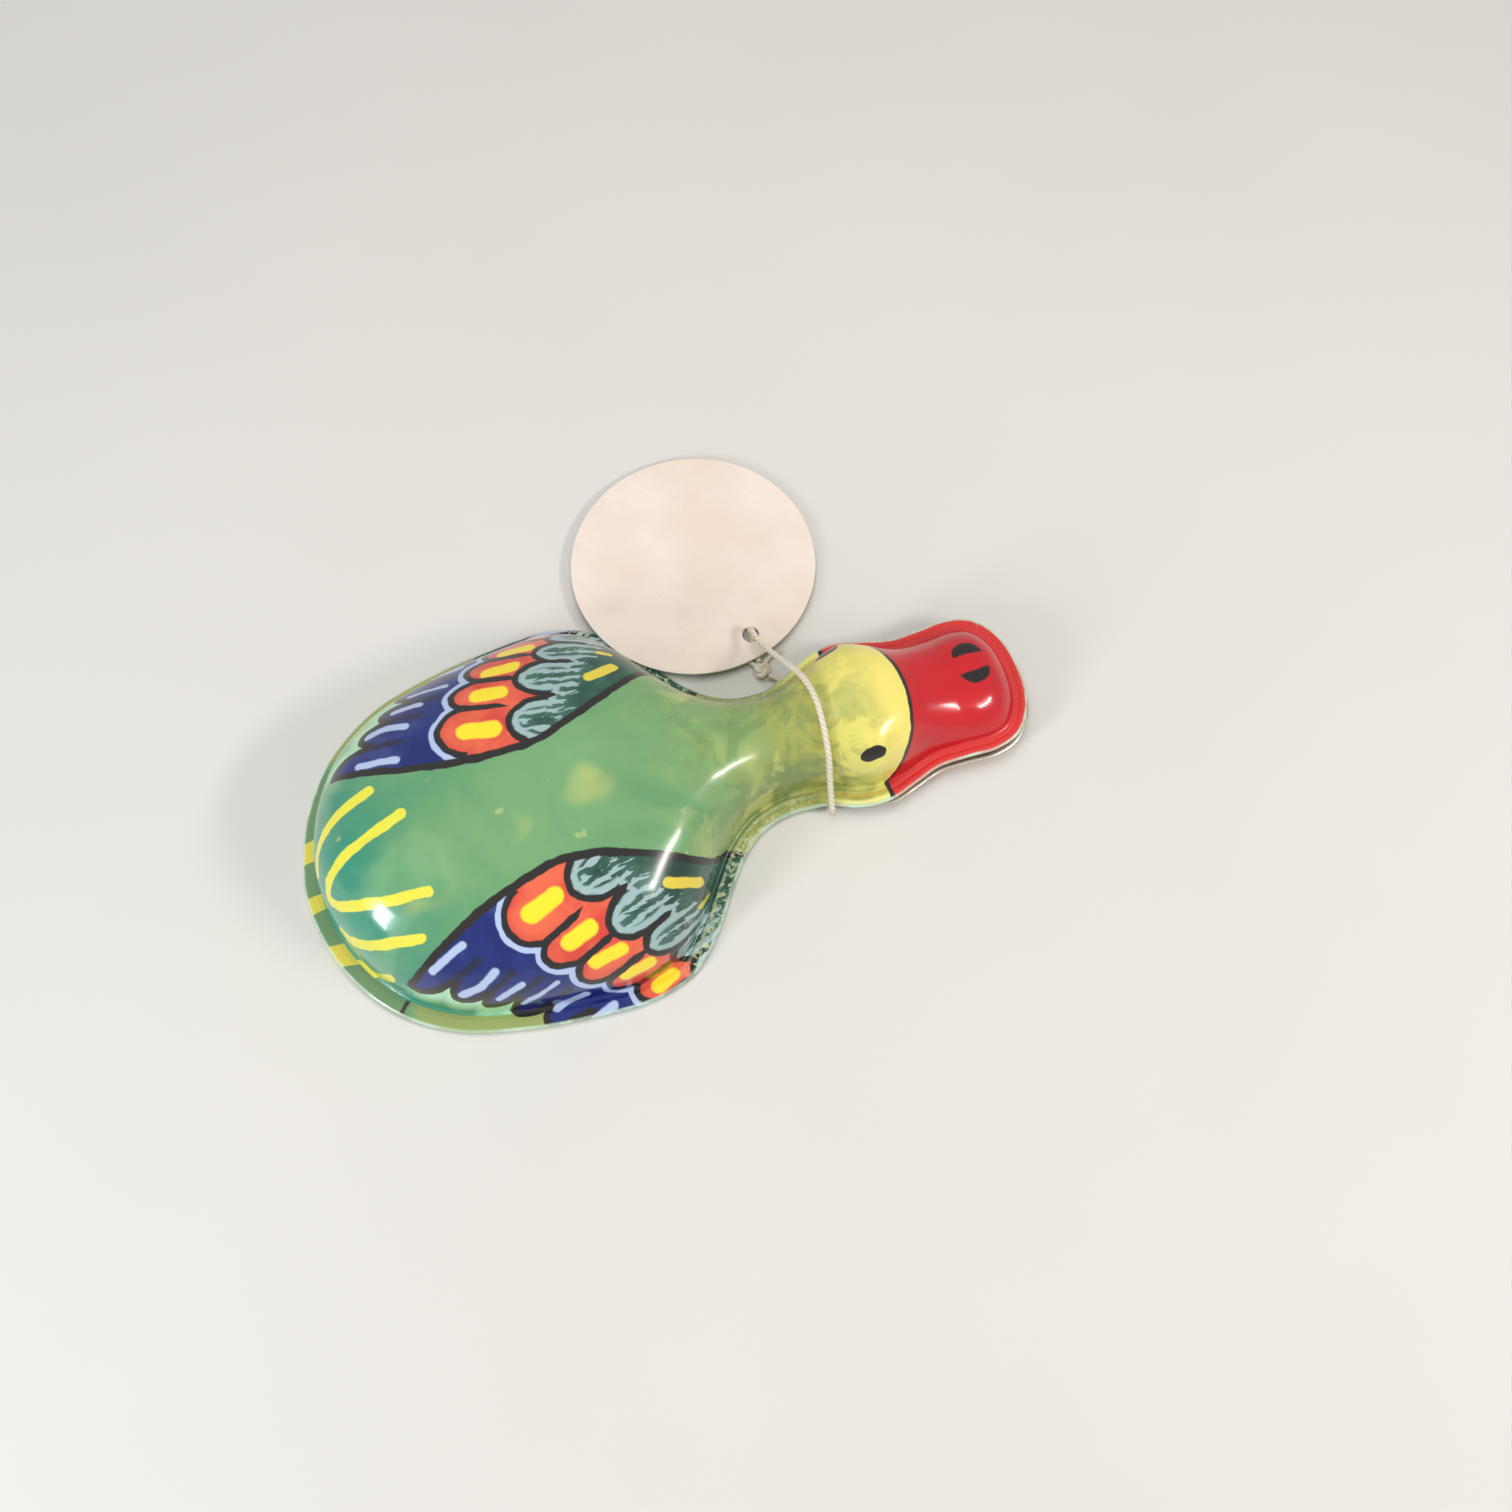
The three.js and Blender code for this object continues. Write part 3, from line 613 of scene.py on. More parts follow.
COVERTS = [
    (54.9, 15, 6.5, 4.9), (58.9, 24, 6.6, 4.1), (63.5, 29.8, 6.4, 3.4), (67.1, 34.6, 6.4, 3.2),
    (69.6, 39.6, 6.4, 3.4), (72.4, 44.8, 6.4, 3.6),
]
WING_LINE = 0.72
WING_PEAK = 50

# Straight strokes on the flat print: both ends and the half width
SUN_DASHES = [
    (40.6, 18.3, 45.6, 16.7, 1.6), (44.9, 25.4, 49.2, 24.1, 1.4), (48, 30.5, 53, 29.7, 1.25),
    (52, 35.4, 57, 34.3, 1.1), (56.6, 41.6, 59.6, 40.2, 1.3), (60.4, 46.4, 63.8, 45.4, 1.2),
]
ICE_DASHES = [
    (20.2, 20.7, 27.2, 18.4, 0.75), (22.9, 27.3, 27.2, 26.9, 0.75), (27.2, 26.9, 30.6, 25.2, 0.75),
    (28.9, 30.7, 34.2, 29.4, 0.6), (32.6, 34, 40, 31.8, 0.5), (37.6, 38.6, 43.6, 37.1, 0.9),
    (43, 43.4, 47.6, 42.2, 0.8),
]
QUILL_SHADOWS = [
    (22, 24.3, 28.6, 22.2, 0.45), (27.4, 29, 33.4, 26.6, 0.4), (31.8, 31.6, 37.6, 29.6, 0.4),
    (35.8, 36.4, 41.6, 34.4, 0.4),
]
COVERT_DASHES = [(65.4, 21.2, 70.4, 22.7, 1.05), (68.9, 27.8, 71, 26.9, 0.5)]
BRIM_PATCHES = [(-0.6, 21.2, -9, 19, 2.5), (-2, 5.2, -12, 4.4, 2.5), (2, -12.6, -9, -9.4, 2.5)]
BRIM_TICK = [(11, 25.2, 6.2, 29.4, 0.5)]

# Bent strokes of the tail: two that both sides have, and one on the near side alone
TAIL_STROKES = [
    [(20.8, 14.6), (14.6, 13.1), (9.9, 11.8), (5.8, 9.7), (3.4, 6.6)],
    [(25, 7.6), (18.3, 6.2), (12.3, 4.6), (7.2, 2.6), (5.2, 0.9), (4.9, 0)],
]
LONE_STROKE = [(10.6, -19.4), (4, -18.1), (0.2, -14.8)]
TAIL_STROKE_HALF_WIDTH = 1.02
EYE = (109.9, 12.1, 0)
NOSTRIL = (135.6, 1.9, 0)


def feather_row(net, place, ends):
    """Distance from a row of feather ends, and how much further off the next one is."""
    values = [
        net.group(FEATHER, place=place, middle=(u, v, 0), along=FEATHER_SLANT,
                  half_length=length, half_width=width)["Distance"]
        for u, v, length, width in ends
    ]
    nearest, second = net.least(*values[:2]), net.most(*values[:2])
    for value in values[2:]:
        second = net.least(second, net.most(nearest, value))
        nearest = net.least(nearest, value)
    return nearest, net.minus(second, nearest)


def strokes(net, place, lines):
    return net.least(*(
        net.group(STROKE, place=place, start=(u0, v0, 0), end=(u1, v1, 0), half_width=half)["Distance"]
        for u0, v0, u1, v1, half in lines
    ))


def bent(points):
    """The straight strokes of a bent one."""
    return [(*a, *b, TAIL_STROKE_HALF_WIDTH) for a, b in zip(points, points[1:])]


def painted_ground(net, lay):
    """The body's clouded greens, from the sea green tail to the straw yellow head."""
    u, solid = lay.u, lay.solid
    cloud = net.noise(solid, 34, 4, 0.55, 0.5)
    small = net.noise(solid, 85, 3, 0.6)
    drift = net.add(u, net.times(net.minus(cloud, 0.5), 34), net.times(net.minus(small, 0.5), 14))
    colour = net.ramp(net.divided(drift, 130), [
        (0, SEA), (0.1, tone(48, 140, 114)), (0.18, tone(94, 154, 110)), (0.28, LEAF),
        (0.5, tone(115, 165, 111)), (0.62, tone(130, 168, 108)), (0.7, tone(148, 162, 88)),
        (0.77, tone(170, 170, 80)), (0.83, tone(218, 212, 108)), (0.92, STRAW),
    ])
    spots = net.fade(net.noise(solid, 58, 2, 0.4), 0.55, 0.7)
    neck = net.times(net.fade(u, 66, 90), net.fade(u, 119, 102))
    shaded = net.fade(net.noise(solid, 150, 4, 0.65, 0.8), 0.46, 0.6)
    # Painted dark reflection: a darker olive band about ten millimetres in from the rim along the neck's
    # sides, in the hollow above the brim
    painted_dark_reflection = net.times(net.line(lay.rim, 1.5, 10, 2.5), net.fade(u, 72, 84), net.fade(u, 106, 96))
    sunlit = net.fade(net.noise(solid, 95, 3, 0.55, 0.6), 0.54, 0.66)
    fleck = net.fade(net.noise(solid, 210), 0.68, 0.76)
    side_brim = net.times(lay.brim, net.fade(u, 8, 12), net.fade(u, 108, 96))
    return net.paint(
        colour,
        (net.times(spots, net.fade(u, 4, 30), net.fade(u, 100, 86), 0.75), tone(196, 202, 116)),
        (net.times(net.fade(cloud, 0.5, 0.66), net.fade(u, 86, 60), 0.35), tone(144, 192, 144)),
        (net.times(net.fade(cloud, 0.48, 0.36), net.fade(u, 96, 76), 0.45), tone(84, 148, 104)),
        (net.times(net.fade(small, 0.46, 0.58), neck, 0.65), tone(112, 142, 78)),
        (net.times(shaded, neck, 0.45), tone(94, 130, 82)),
        (net.times(painted_dark_reflection, 0.5), tone(104, 124, 64)),
        (net.times(sunlit, neck, 0.55), tone(226, 220, 136)),
        (net.times(fleck, net.fade(u, 96, 84), 0.4), tone(206, 212, 136)),
        (net.times(lay.brim, net.fade(u, 12, 7), 0.85), tone(112, 138, 92)),
        (net.times(side_brim, 0.8), tone(158, 164, 88)),
    )


def painted_tail(net, lay, colour):
    """Round ended strokes that fan out from the tail, and their ends on the brim."""
    fan = strokes(net, lay.wing, bent(TAIL_STROKES[0]) + bent(TAIL_STROKES[1]))
    lone = strokes(net, lay.flat, bent(LONE_STROKE))
    patches = strokes(net, lay.flat, BRIM_PATCHES)
    return net.paint(
        colour,
        (net.times(net.inside(net.least(fan, lone)), net.minus(1, lay.brim)), LEMON),
        # Printed stroke ends on the brim, darker than the strokes as painted shade of the brim
        (net.times(net.inside(patches), lay.brim), OCHRE_IN_PAINTED_SHADE),
    )


def painted_wing(net, lay, colour):
    """Rows of outlined feathers: navy flight feathers, orange scallops and pine green coverts."""
    u, spread, wing_place, fine = lay.u, lay.spread, lay.wing, lay.fine

    # The wing's upper outline, and the three rows within it
    back = net.divided(net.most(net.minus(WING_PEAK, u), 0), 36)
    front = net.divided(net.most(net.minus(u, WING_PEAK), 0), 22.2)
    height = net.add(11.3, net.times(net.math("POWER", back, 1.77), 10.8),
                     net.times(net.math("POWER", front, 1.42), 7.7))
    flight, _ = feather_row(net, wing_place, FLIGHT_FEATHERS)
    flight_base = net.times(net.minus(spread, net.add(5.4, net.times(u, 0.84))), 0.766)
    flight = net.least(flight, flight_base)
    wing = net.most(flight, net.times(net.minus(height, spread), 0.91))

    def row_ahead_of(ends, start):
        """A row of rounded ends that runs on ahead of a slanting line."""
        rounded, gap = feather_row(net, wing_place, ends)
        front_line = net.minus(net.add(net.times(spread, 0.62), start), net.times(u, 0.78))
        return net.least(rounded, front_line), gap

    def parting(row, gap, deep, width):
        """Black line between two feathers that thins out away from the row's edge."""
        thick = net.fade(row, -deep, -0.3, -0.3, width)
        return net.inside(net.minus(gap, thick), 0, 0.15)

    orange, scallop_gap = row_ahead_of(SCALLOPS, 22)
    green, covert_gap = row_ahead_of(COVERTS, 32)

    navy = net.paint(
        net.mix(net.fade(fine, 0.35, 0.7), NAVY, tone(16, 44, 124)),
        (net.times(net.fade(fine, 0.52, 0.68), 0.4), DUSK),
        (net.times(net.inside(strokes(net, wing_place, QUILL_SHADOWS), 0.25, 0.45), 0.85), tone(22, 24, 44)),
        (net.inside(strokes(net, wing_place, ICE_DASHES), 0, 0.2), ICE),
        (net.line(flight, 0.4), INK),
        (net.line(orange, 0.5, 1.2), ICE),
    )

    dashes = strokes(net, wing_place, SUN_DASHES)
    warm = net.paint(
        net.mix(net.fade(fine, 0.4, 0.68), CORAL, EMBER),
        (net.fade(orange, -2.6, -0.4, 0, 0.55), EMBER),
        (net.inside(dashes, 0.22, 0.14), tone(246, 170, 56)),
        (net.inside(dashes, 0, 0.15), SUN),
        (parting(orange, scallop_gap, 5.6, 1.5), INK),
    )

    # Combed light strokes that end raggedly, over a pine green wash
    ragged = net.brushed(wing_place, (0.22, 0.9, 0))
    comb = net.math("SINE", net.add(net.times(spread, 3.3), u, net.times(ragged, 8)))
    reach = net.minus(net.add(net.times(net.minus(ragged, 0.5), 9), -4.4), green)
    combed = net.times(net.fade(comb, -0.15, 0.3), net.inside(reach, 0, 0.3), net.inside(green, -0.5, 0.2))
    heel = net.line(green, 0.55, -1.3, 0.3)
    wash = net.times(net.fade(green, -6.5, -1, 0, 0.45), net.fade(fine, 0.3, 0.6))
    cool = net.paint(
        net.mix(net.fade(fine, 0.35, 0.7), PINE, tone(48, 100, 82)),
        (wash, tone(92, 132, 124)),
        (net.times(net.most(combed, heel), 0.9), MIST),
        (net.inside(strokes(net, wing_place, COVERT_DASHES), 0, 0.15), tone(232, 208, 72)),
        (parting(green, covert_gap, 2.6, 1.3), INK),
    )
    feathers = net.paint(navy, (net.inside(orange), warm), (net.line(orange, 0.56), INK),
                         (net.inside(green), cool), (net.line(green, 0.6), INK))

    glow = net.times(net.minus(1, net.inside(wing)), net.fade(flight, 4.2, 1),
                     net.fade(spread, 21, 25), net.minus(1, lay.brim), 0.85)
    tick = net.times(net.inside(strokes(net, wing_place, BRIM_TICK)), lay.brim)
    painted = net.paint(colour, (glow, tone(178, 230, 188)), (net.inside(wing), feathers),
                        (net.line(wing, WING_LINE), INK), (tick, tone(62, 50, 44)))
    return painted, wing


def painted_head(net, lay, colour):
    """Eyes, the red bill behind its black line, and on the head's lip a pale painted highlight and darker
    gold painted shade in its groove.
    """
    u, spread, rim = lay.u, lay.spread, lay.rim
    on_head = net.fade(u, 98, 104)
    eye = net.group(FEATHER, place=lay.wing, middle=EYE, along=(0.99, 0.14, 0),
                    half_length=2.5, half_width=1.35)["Distance"]
    oval = net.group(FEATHER, place=lay.wing, middle=NOSTRIL, along=(1, 0, 0),
                     half_length=2.9, half_width=2.5)["Distance"]
    nostril = net.most(oval, net.minus(NOSTRIL[1], spread))
    fall = net.times(spread, spread, 0.0215)
    bill_line = net.minus(net.most(net.minus(120.6, fall), 111.6), u)
    red = net.paint(
        net.mix(net.fade(lay.fine, 0.4, 0.7), CHERRY, tone(190, 16, 30)),
        # Painted highlight: a lighter red band along the bill's outer lip
        (net.times(net.line(rim, 1.3, 1.4, 0.6), 0.5), tone(222, 62, 54)),
        (net.inside(nostril, 0.15), tone(74, 22, 20)),
        (net.inside(nostril, -0.1, 0.1), tone(24, 14, 14)),
    )
    return net.paint(
        colour,
        # Painted highlight: a pale line along the outer edge of the head's lip
        (net.times(net.line(rim, 0.4, 0.9, 0.4), on_head, 0.85), tone(246, 238, 158)),
        # Painted shade: a darker gold line in the groove of the head's lip
        (net.times(net.line(rim, 0.35, 2.3, 0.3), on_head, 0.75), tone(190, 160, 62)),
        (net.inside(eye, 0, 0.1), tone(20, 18, 18)),
        (net.inside(bill_line), red),
        (net.line(bill_line, 0.42), INK),
    )


def print_lacquer():
    """The printed outside of the stamping."""
    material, net = new_material("printed lacquer")
    solid = net.object_place()
    laid = net.attribute("print_place")["Vector"]

    # The painter's hand: lines waver by up to half a millimetre
    hand = laid
    for scale, detail, reach in ((190, 2, 0.9), (520, 1, 0.4)):
        shake = net.vector("SUBTRACT", net.noise(solid, scale, detail, output="Color"), (0.5, 0.5, 0.5))
        hand = net.vector("ADD", hand, net.vector("MULTIPLY", shake, (reach, reach, 0)))
    u, v, _ = net.split(hand)
    rim = net.split(laid)["Z"]
    spread = net.math("ABSOLUTE", v)
    lay = SimpleNamespace(
        u=u, spread=spread, rim=rim, solid=solid, wing=net.joined(u, spread), flat=net.joined(u, v),
        brim=net.inside(rim, 3.1, 0.15), fine=net.noise(solid, 120, 3, 0.6),
    )
    colour = painted_tail(net, lay, painted_ground(net, lay))
    colour, wing = painted_wing(net, lay, colour)
    colour = painted_head(net, lay, colour)

    # Pale mint line along the outer edge as a painted highlight on the rolled hem, in patches; a crumpled
    # seam at the breast with painted highlights on its crinkles and along its bead; and chips down to the
    # tin
    breast = net.times(net.fade(u, 60, 66), net.fade(u, 99.5, 97.5))
    # Patches that break up the painted highlight along the hem
    worn = net.fade(net.noise(solid, 260, 3, 0.7), 0.42, 0.6)
    crumple = net.noise(solid, 620, 3, 0.6, 1.2)
    seam = net.times(net.line(rim, 1.1, 1.6, 0.4), breast)
    bead_highlight = net.times(net.line(rim, 0.22, 2.35, 0.3), breast, net.fade(crumple, 0.3, 0.5))
    chips = net.times(net.inside(rim, 0.9, 0.5), net.fade(net.noise(solid, 520, 3, 0.7), 0.66, 0.72))
    colour = net.paint(
        colour,
        # Painted highlight along the rolled hem
        (net.times(net.line(rim, 0.3, 0.15, 0.2), net.add(0.5, net.times(worn, 0.4))), MINT),
        # Painted highlights on the seam's crinkles
        (net.times(seam, net.fade(crumple, 0.5, 0.62), 0.75), tone(208, 216, 168)),
        # Painted highlight streak along the seam's bead
        (net.times(bead_highlight, 0.65), tone(186, 200, 162)),
        (net.times(chips, 0.7), tone(196, 196, 188)),
    )
    sheet = net.group(SHEET, place=solid, gloss=0.2)
    height = net.add(net.times(sheet["Height"], 0.6), net.times(net.line(wing, WING_LINE, 0, 0.3), 0.1),
                     net.times(seam, crumple, 9))
    net.surface({
        "Base Color": colour, "Roughness": sheet["Roughness"], "Normal": net.bump(height, 0.00006, 0.6),
        "Coat Weight": 0.3, "Coat Roughness": 0.08, "IOR": 1.5,
    })
    return material


def red_lacquer():
    """Red lacquer under the lower bill."""
    material, net = new_material("red lacquer")
    place = net.object_place()
    sheet = net.group(SHEET, place=place, gloss=0.24)
    cloud = net.noise(place, 110, 3, 0.6)
    net.surface({
        "Base Color": net.mix(net.fade(cloud, 0.4, 0.7), CHERRY, tone(168, 28, 30)),
        "Roughness": sheet["Roughness"], "Normal": net.bump(sheet["Height"], 0.00006, 0.5),
        "Coat Weight": 0.5, "Coat Roughness": 0.1,
    })
    return material


def gold_lacquer():
    """Khaki gold lacquer over bare tin, inside the stamping and on the belly."""
    material, net = new_material("gold lacquered tin")
    place = net.object_place()
    sheet = net.group(SHEET, place=place, gloss=0.3)
    drawn = net.brushed(place, (90, 1400, 1400))
    scratch = net.fade(net.brushed(place, (60, 2600, 2600), 1, 0.5), 0.7, 0.74)
    tint = net.paint(
        net.mix(net.fade(drawn, 0.35, 0.65), tone(176, 142, 74), tone(150, 118, 56)),
        (net.times(sheet["Grime"], 0.5), tone(112, 92, 50)),
        (net.times(scratch, 0.5), tone(206, 200, 182)),
    )
    height = net.add(sheet["Height"], net.times(drawn, 0.5))
    net.surface({
        "Base Color": tint, "Roughness": net.add(sheet["Roughness"], net.times(scratch, 0.1)),
        "Normal": net.bump(height, 0.00005, 0.5), "Metallic": 0.85,
    })
    return material


def bare_tin():
    """Cut and rolled edges where the tin shows."""
    material, net = new_material("bare tin edge")
    place = net.object_place()
    stain = net.noise(place, 180, 4, 0.65)
    net.surface({
        "Base Color": net.mix(net.fade(stain, 0.45, 0.7), tone(214, 210, 196), tone(168, 158, 132)),
        "Roughness": net.fade(stain, 0.3, 0.7, 0.26, 0.42),
        "Normal": net.bump(net.noise(place, 1500), 0.00004, 0.4), "Metallic": 0.9,
    })
    return material


def steel(name, light, dark, roughness, stretch):
    """Brushed or drawn steel with darker handling marks."""
    material, net = new_material(name)
    place = net.object_place()
    grain = net.brushed(place, stretch)
    marks = net.noise(place, 240, 3, 0.6)
    net.surface({
        "Base Color": net.paint(net.mix(net.fade(grain, 0.3, 0.7), light, dark),
                                (net.times(net.fade(marks, 0.55, 0.75), 0.5), tone(92, 88, 82))),
        "Roughness": net.fade(marks, 0.3, 0.8, roughness, roughness + 0.16),
        "Normal": net.bump(grain, 0.00003, 0.5), "Metallic": 1,
    })
    return material


def cotton():
    """Soft twisted cotton with a fine fuzz, and painted shade in the grooves between the cord's turns."""
    material, net = new_material("cotton twist")
    groove = net.attribute("strand_groove_shade")["Fac"]
    fibre = net.brushed(net.object_place(), (5200, 5200, 5200), 3, 0.7)
    net.surface({
        # Painted shade: darker in the grooves between the strands
        "Base Color": net.paint(net.mix(net.fade(fibre, 0.3, 0.7), tone(226, 216, 192), tone(246, 240, 224)),
                                (net.times(groove, 0.5), tone(172, 156, 124))),
        "Normal": net.bump(fibre, 0.00012, 0.7), "Roughness": 0.9, "Sheen Weight": 0.35,
    })
    return material


def card(name, light, dark, fleck):
    """Uncoated card with pulp flecks and a fine tooth."""
    material, net = new_material(name)
    place = net.object_place()
    pulp = net.noise(place, 1300, 4, 0.65)
    net.surface({
        "Base Color": net.paint(net.mix(net.fade(net.noise(place, 60, 3), 0.35, 0.65), light, dark),
                                (net.times(net.fade(pulp, 0.62, 0.72), 0.35), fleck)),
        "Normal": net.bump(pulp, 0.00006, 0.5), "Roughness": net.fade(pulp, 0.3, 0.7, 0.6, 0.75),
    })
    return material


def place_camera():
    azimuth, elevation, roll = map(radians, (CAMERA_AZIMUTH, CAMERA_ELEVATION, CAMERA_ROLL))
    back = Vector((cos(elevation) * cos(azimuth), cos(elevation) * sin(azimuth),
                   sin(elevation)))
    level = Vector((0, 0, 1)).cross(back).normalized()
    rise = back.cross(level)
    right = level * cos(roll) + rise * sin(roll)
    up = rise * cos(roll) - level * sin(roll)
    distance = CAMERA_DISTANCE * MM
    aside, below = ((pixel - IMAGE_SIDE / 2) / FOCAL_PIXELS * distance for pixel in AIM_PIXEL)
    eye = at(*AIM) - right * aside + up * below + back * distance
    lens = bpy.data.cameras.new("camera")
    lens.sensor_width = SENSOR
    lens.lens = SENSOR * FOCAL_PIXELS / IMAGE_SIDE
    lens.clip_start = 0.01
    camera = bpy.data.objects.new("camera", lens)
    camera.matrix_world = Matrix.Translation(eye) @ Matrix((right, up, back)).transposed().to_4x4()
    bpy.context.scene.collection.objects.link(camera)
    bpy.context.scene.camera = camera


def neck_cord(material):
    """The twisted cord, the points that it follows and its length in metres."""
    points = spline(CORD_ROUTE, 0.28)
    runs = [0]
    for a, b in zip(points, points[1:]):
        runs.append(runs[-1] + (b - a).length)
    bm = new_form()
    groove = bm.verts.layers.float.new("strand_groove_shade")

    def radius(i, angle):
        phase = STRANDS * angle + 2 * pi * STRANDS * runs[i] / (TWIST_PITCH * MM)
        return CORD_RADIUS * (1 - STRAND_DEPTH * (0.5 - 0.5 * cos(phase)) ** 2)

    # Each point's depth into the grooves between strands, which the cotton darkens as painted shade
    for ring, centre in zip(tube(bm, points, radius, 18), points):
        for vert in ring:
            gap = (vert.co - centre).length / (CORD_RADIUS * MM)
            vert[groove] = (1 - gap) / STRAND_DEPTH
    bmesh.ops.recalc_face_normals(bm, faces=bm.faces)
    return finish_piece("neck_cord_twist", bm, [material]), points, runs[-1]


def cord_knot(material):
    """An overhand knot with two short frayed ends."""
    bm = new_form()
    groove = bm.verts.layers.float.new("strand_groove_shade")
    x, y, z = KNOT_PLACE
    turns = []
    for i in range(KNOT_STEPS + 1):
        angle = 2 * pi * i / KNOT_STEPS
        swing = 0.9 + 0.42 * cos(3 * angle)
        turns.append(at(x + swing * cos(2 * angle), y + swing * sin(2 * angle),
                        z - 0.1 + 0.42 * sin(3 * angle)))

    def twisted(angle, turn):
        return KNOT_CORD * (1 - 0.12 * cos(3 * angle + turn) ** 2)

    tube(bm, turns, lambda i, angle: twisted(angle, i * 0.35), 14)
    rng = random.Random(7)
    for end in KNOT_ENDS:
        line = spline(end, 0.25)
        last = len(line) - 1
        tube(bm, line, lambda i, angle: twisted(angle, i * 0.4) * (1 - 0.3 * (i / last) ** 3), 12)
        tip, before = Vector(end[-1]), Vector(end[-2])
        onward = (tip - before).normalized()
        for _ in range(FRAYED_HAIRS):
            away = Vector((rng.uniform(-1, 1), rng.uniform(-1, 1), rng.uniform(-0.25, 0.5)))
            length = rng.uniform(0.8, 2.0)
            root = tip - onward * 0.3 + away * 0.18
            middle = root + onward * length * 0.5 + away * 0.25
            far = root + onward * length + away * 0.75
            hair = [(p.x, p.y, max(p.z, 0.12)) for p in (root, middle, far)]
            tube(bm, spline(hair, 0.3), lambda i, angle: 0.06, 5)
    # The whole knot gets a quarter of the grooves' painted shade
    for vert in bm.verts:
        vert[groove] = 0.25
    bmesh.ops.recalc_face_normals(bm, faces=bm.faces)
    return finish_piece("cord_knot_tied", bm, [material])


# The stamping's section
def spine_at(x):
    """The place on the spine that the dome over an outline point runs up to."""
    if x < SPINE_TAIL:
        return SPINE_TAIL - (SPINE_TAIL - x) * FAN_SHARE
    if x > SPINE_TIP:
        return SPINE_TIP + (x - SPINE_TIP) * FAN_SHARE
    return x


def dome_share(share, x):
    return (1 - (1 - share) ** through(ROUNDNESS, x)) ** (1 / through(STEEPNESS, x))


def share_at_height(height, x):
    return 1 - (1 - height ** through(STEEPNESS, x)) ** (1 / through(ROUNDNESS, x))


def brim_top(x):
    return SEAM_HEIGHT + through(BRIM_RISE, x)


def hump(value, middle, half):
    off = abs(value - middle) / half
    return cos(off * pi / 2) ** 2 if off < 1 else 0


def brim_relief(x, inset, run, inner, outer):
    """Height of the brim's beads and crimps over its flat."""
    hold = smooth_between(outer, outer + 0.5, inset) * smooth_between(inner, inner - 0.4, inset)
    breast = smooth_between(63, 69, x) * smooth_between(99.5, 97.5, x)
    head = smooth_between(99.5, 104, x)
    bill = smooth_between(113, 117, x)
    waver = sin(run * 2.45) * sin(run * 0.83 + 1) + 0.5 * sin(run * 4.1 + 2)
    relief = breast * (0.24 * waver * smooth_between(2.9, 2.0, inset) + 0.2 * hump(inset, 2.75, 0.4))
    relief += (1 - head) * (1 - breast) * 0.07 * hump(inset, 2.2, 0.7)
    relief += head * (1 - bill) * (0.3 * hump(inset, 2.95, 0.6) - 0.22 * hump(inset, 2.1, 0.5))
    relief -= bill * 0.25 * hump(inset, 1.75, 0.45)
    relief -= 0.35 * hump(x, 100.6, 1.1) * smooth_between(3.2, 1.0, inset)
    return relief * hold


def shell_section(x, y, nx, ny, run):
    """The shell's section at an outline point, from the crown round the seam to the ceiling inside.

    Each of its points comes with a place on the flat print and a distance from the rim.
    """
    width = through(BRIM_WIDTH, x)
    fillet = through(FOOT_RADIUS, x)
    top = brim_top(x)
    spine = spine_at(x)
    crown = through(CROWN, spine)
    foot = (x + nx * width, y + ny * width)
    spread = hypot(foot[0] - spine, foot[1]) or 1e-9
    outward = ((foot[0] - spine) / spread, foot[1] / spread)

    def dome(share, drop, from_foot):
        low, high = top - drop, crown - drop
        return (from_foot[0] + (spine - from_foot[0]) * share, from_foot[1] * (1 - share),
                low + (high - low) * dome_share(share, spine))

    def edge_point(inset, height):
        return (x + nx * inset, y + ny * inset, height)

    # Down the dome, from the spine to the fillet at its foot
    start = share_at_height(fillet / (crown - top), spine)
    section = []
    arc = 0
    for k in range(DOME_RINGS, -1, -1):
        share = start + (1 - start) * (k / DOME_RINGS) ** 1.8
        point = dome(share, 0, foot)
        if section:
            arc += dist(point, section[-1][0])
        level = spread * (1 - share)
        flat = level + UNROLL * (arc - level)
        section.append((point, (spine + outward[0] * flat, outward[1] * flat), arc))
    section = [(point, place, width + arc - run_down) for point, place, run_down in section]
    (base_x, base_y, _), wall_end, _ = section[-1]
    run_out = 0

    def lay(point, rim):
        nonlocal run_out
        run_out += dist(point, section[-1][0])
        section.append((point, (wall_end[0] - nx * run_out, wall_end[1] - ny * run_out), rim))

    for k in range(1, FILLET_RINGS + 1):
        angle = pi / 2 * k / FILLET_RINGS
        out = fillet * (1 - cos(angle))
        lay((base_x - nx * out, base_y - ny * out, top + fillet * (1 - sin(angle))), width - out)

    # Out over the brim and round its nose, under by the seam's reach, and back inside
    lip = smooth_between(*SEAM_END, x)
    depth = SEAM_HEIGHT + (LIP_DEPTH - SEAM_HEIGHT) * lip
    reach = SEAM_REACH + (LIP_REACH - SEAM_REACH) * lip
    nose = depth / 2
    inner = width - fillet
    for k in range(1, BRIM_RINGS + 1):
        inset = inner + (nose - inner) * k / BRIM_RINGS
        lay(edge_point(inset, top + brim_relief(x, inset, run, inner, nose)), inset)
    for k in range(1, NOSE_RINGS + 1):
        angle = pi * k / NOSE_RINGS
        inset = nose * (1 - sin(angle))
        lay(edge_point(inset, top - nose + nose * cos(angle)), inset if k < 3 else -inset)
    lay(edge_point(reach, top - depth), -reach)
    lay(edge_point(reach, top - depth + SEAM_SHEET), -reach)
    inner_nose = max(nose - SEAM_SHEET, 0.02)
    unprinted = -9
    for k in range(INNER_NOSE_RINGS + 1):
        angle = pi * k / INNER_NOSE_RINGS
        inset = nose - inner_nose * sin(angle)
        lay(edge_point(inset, top - nose - inner_nose * cos(angle)), unprinted)
    inner_foot = edge_point(width + TIN, 0)
    for k in range(INNER_RINGS + 1):
        lay(dome((k / INNER_RINGS) ** 1.6, TIN, inner_foot), unprinted)
    return section


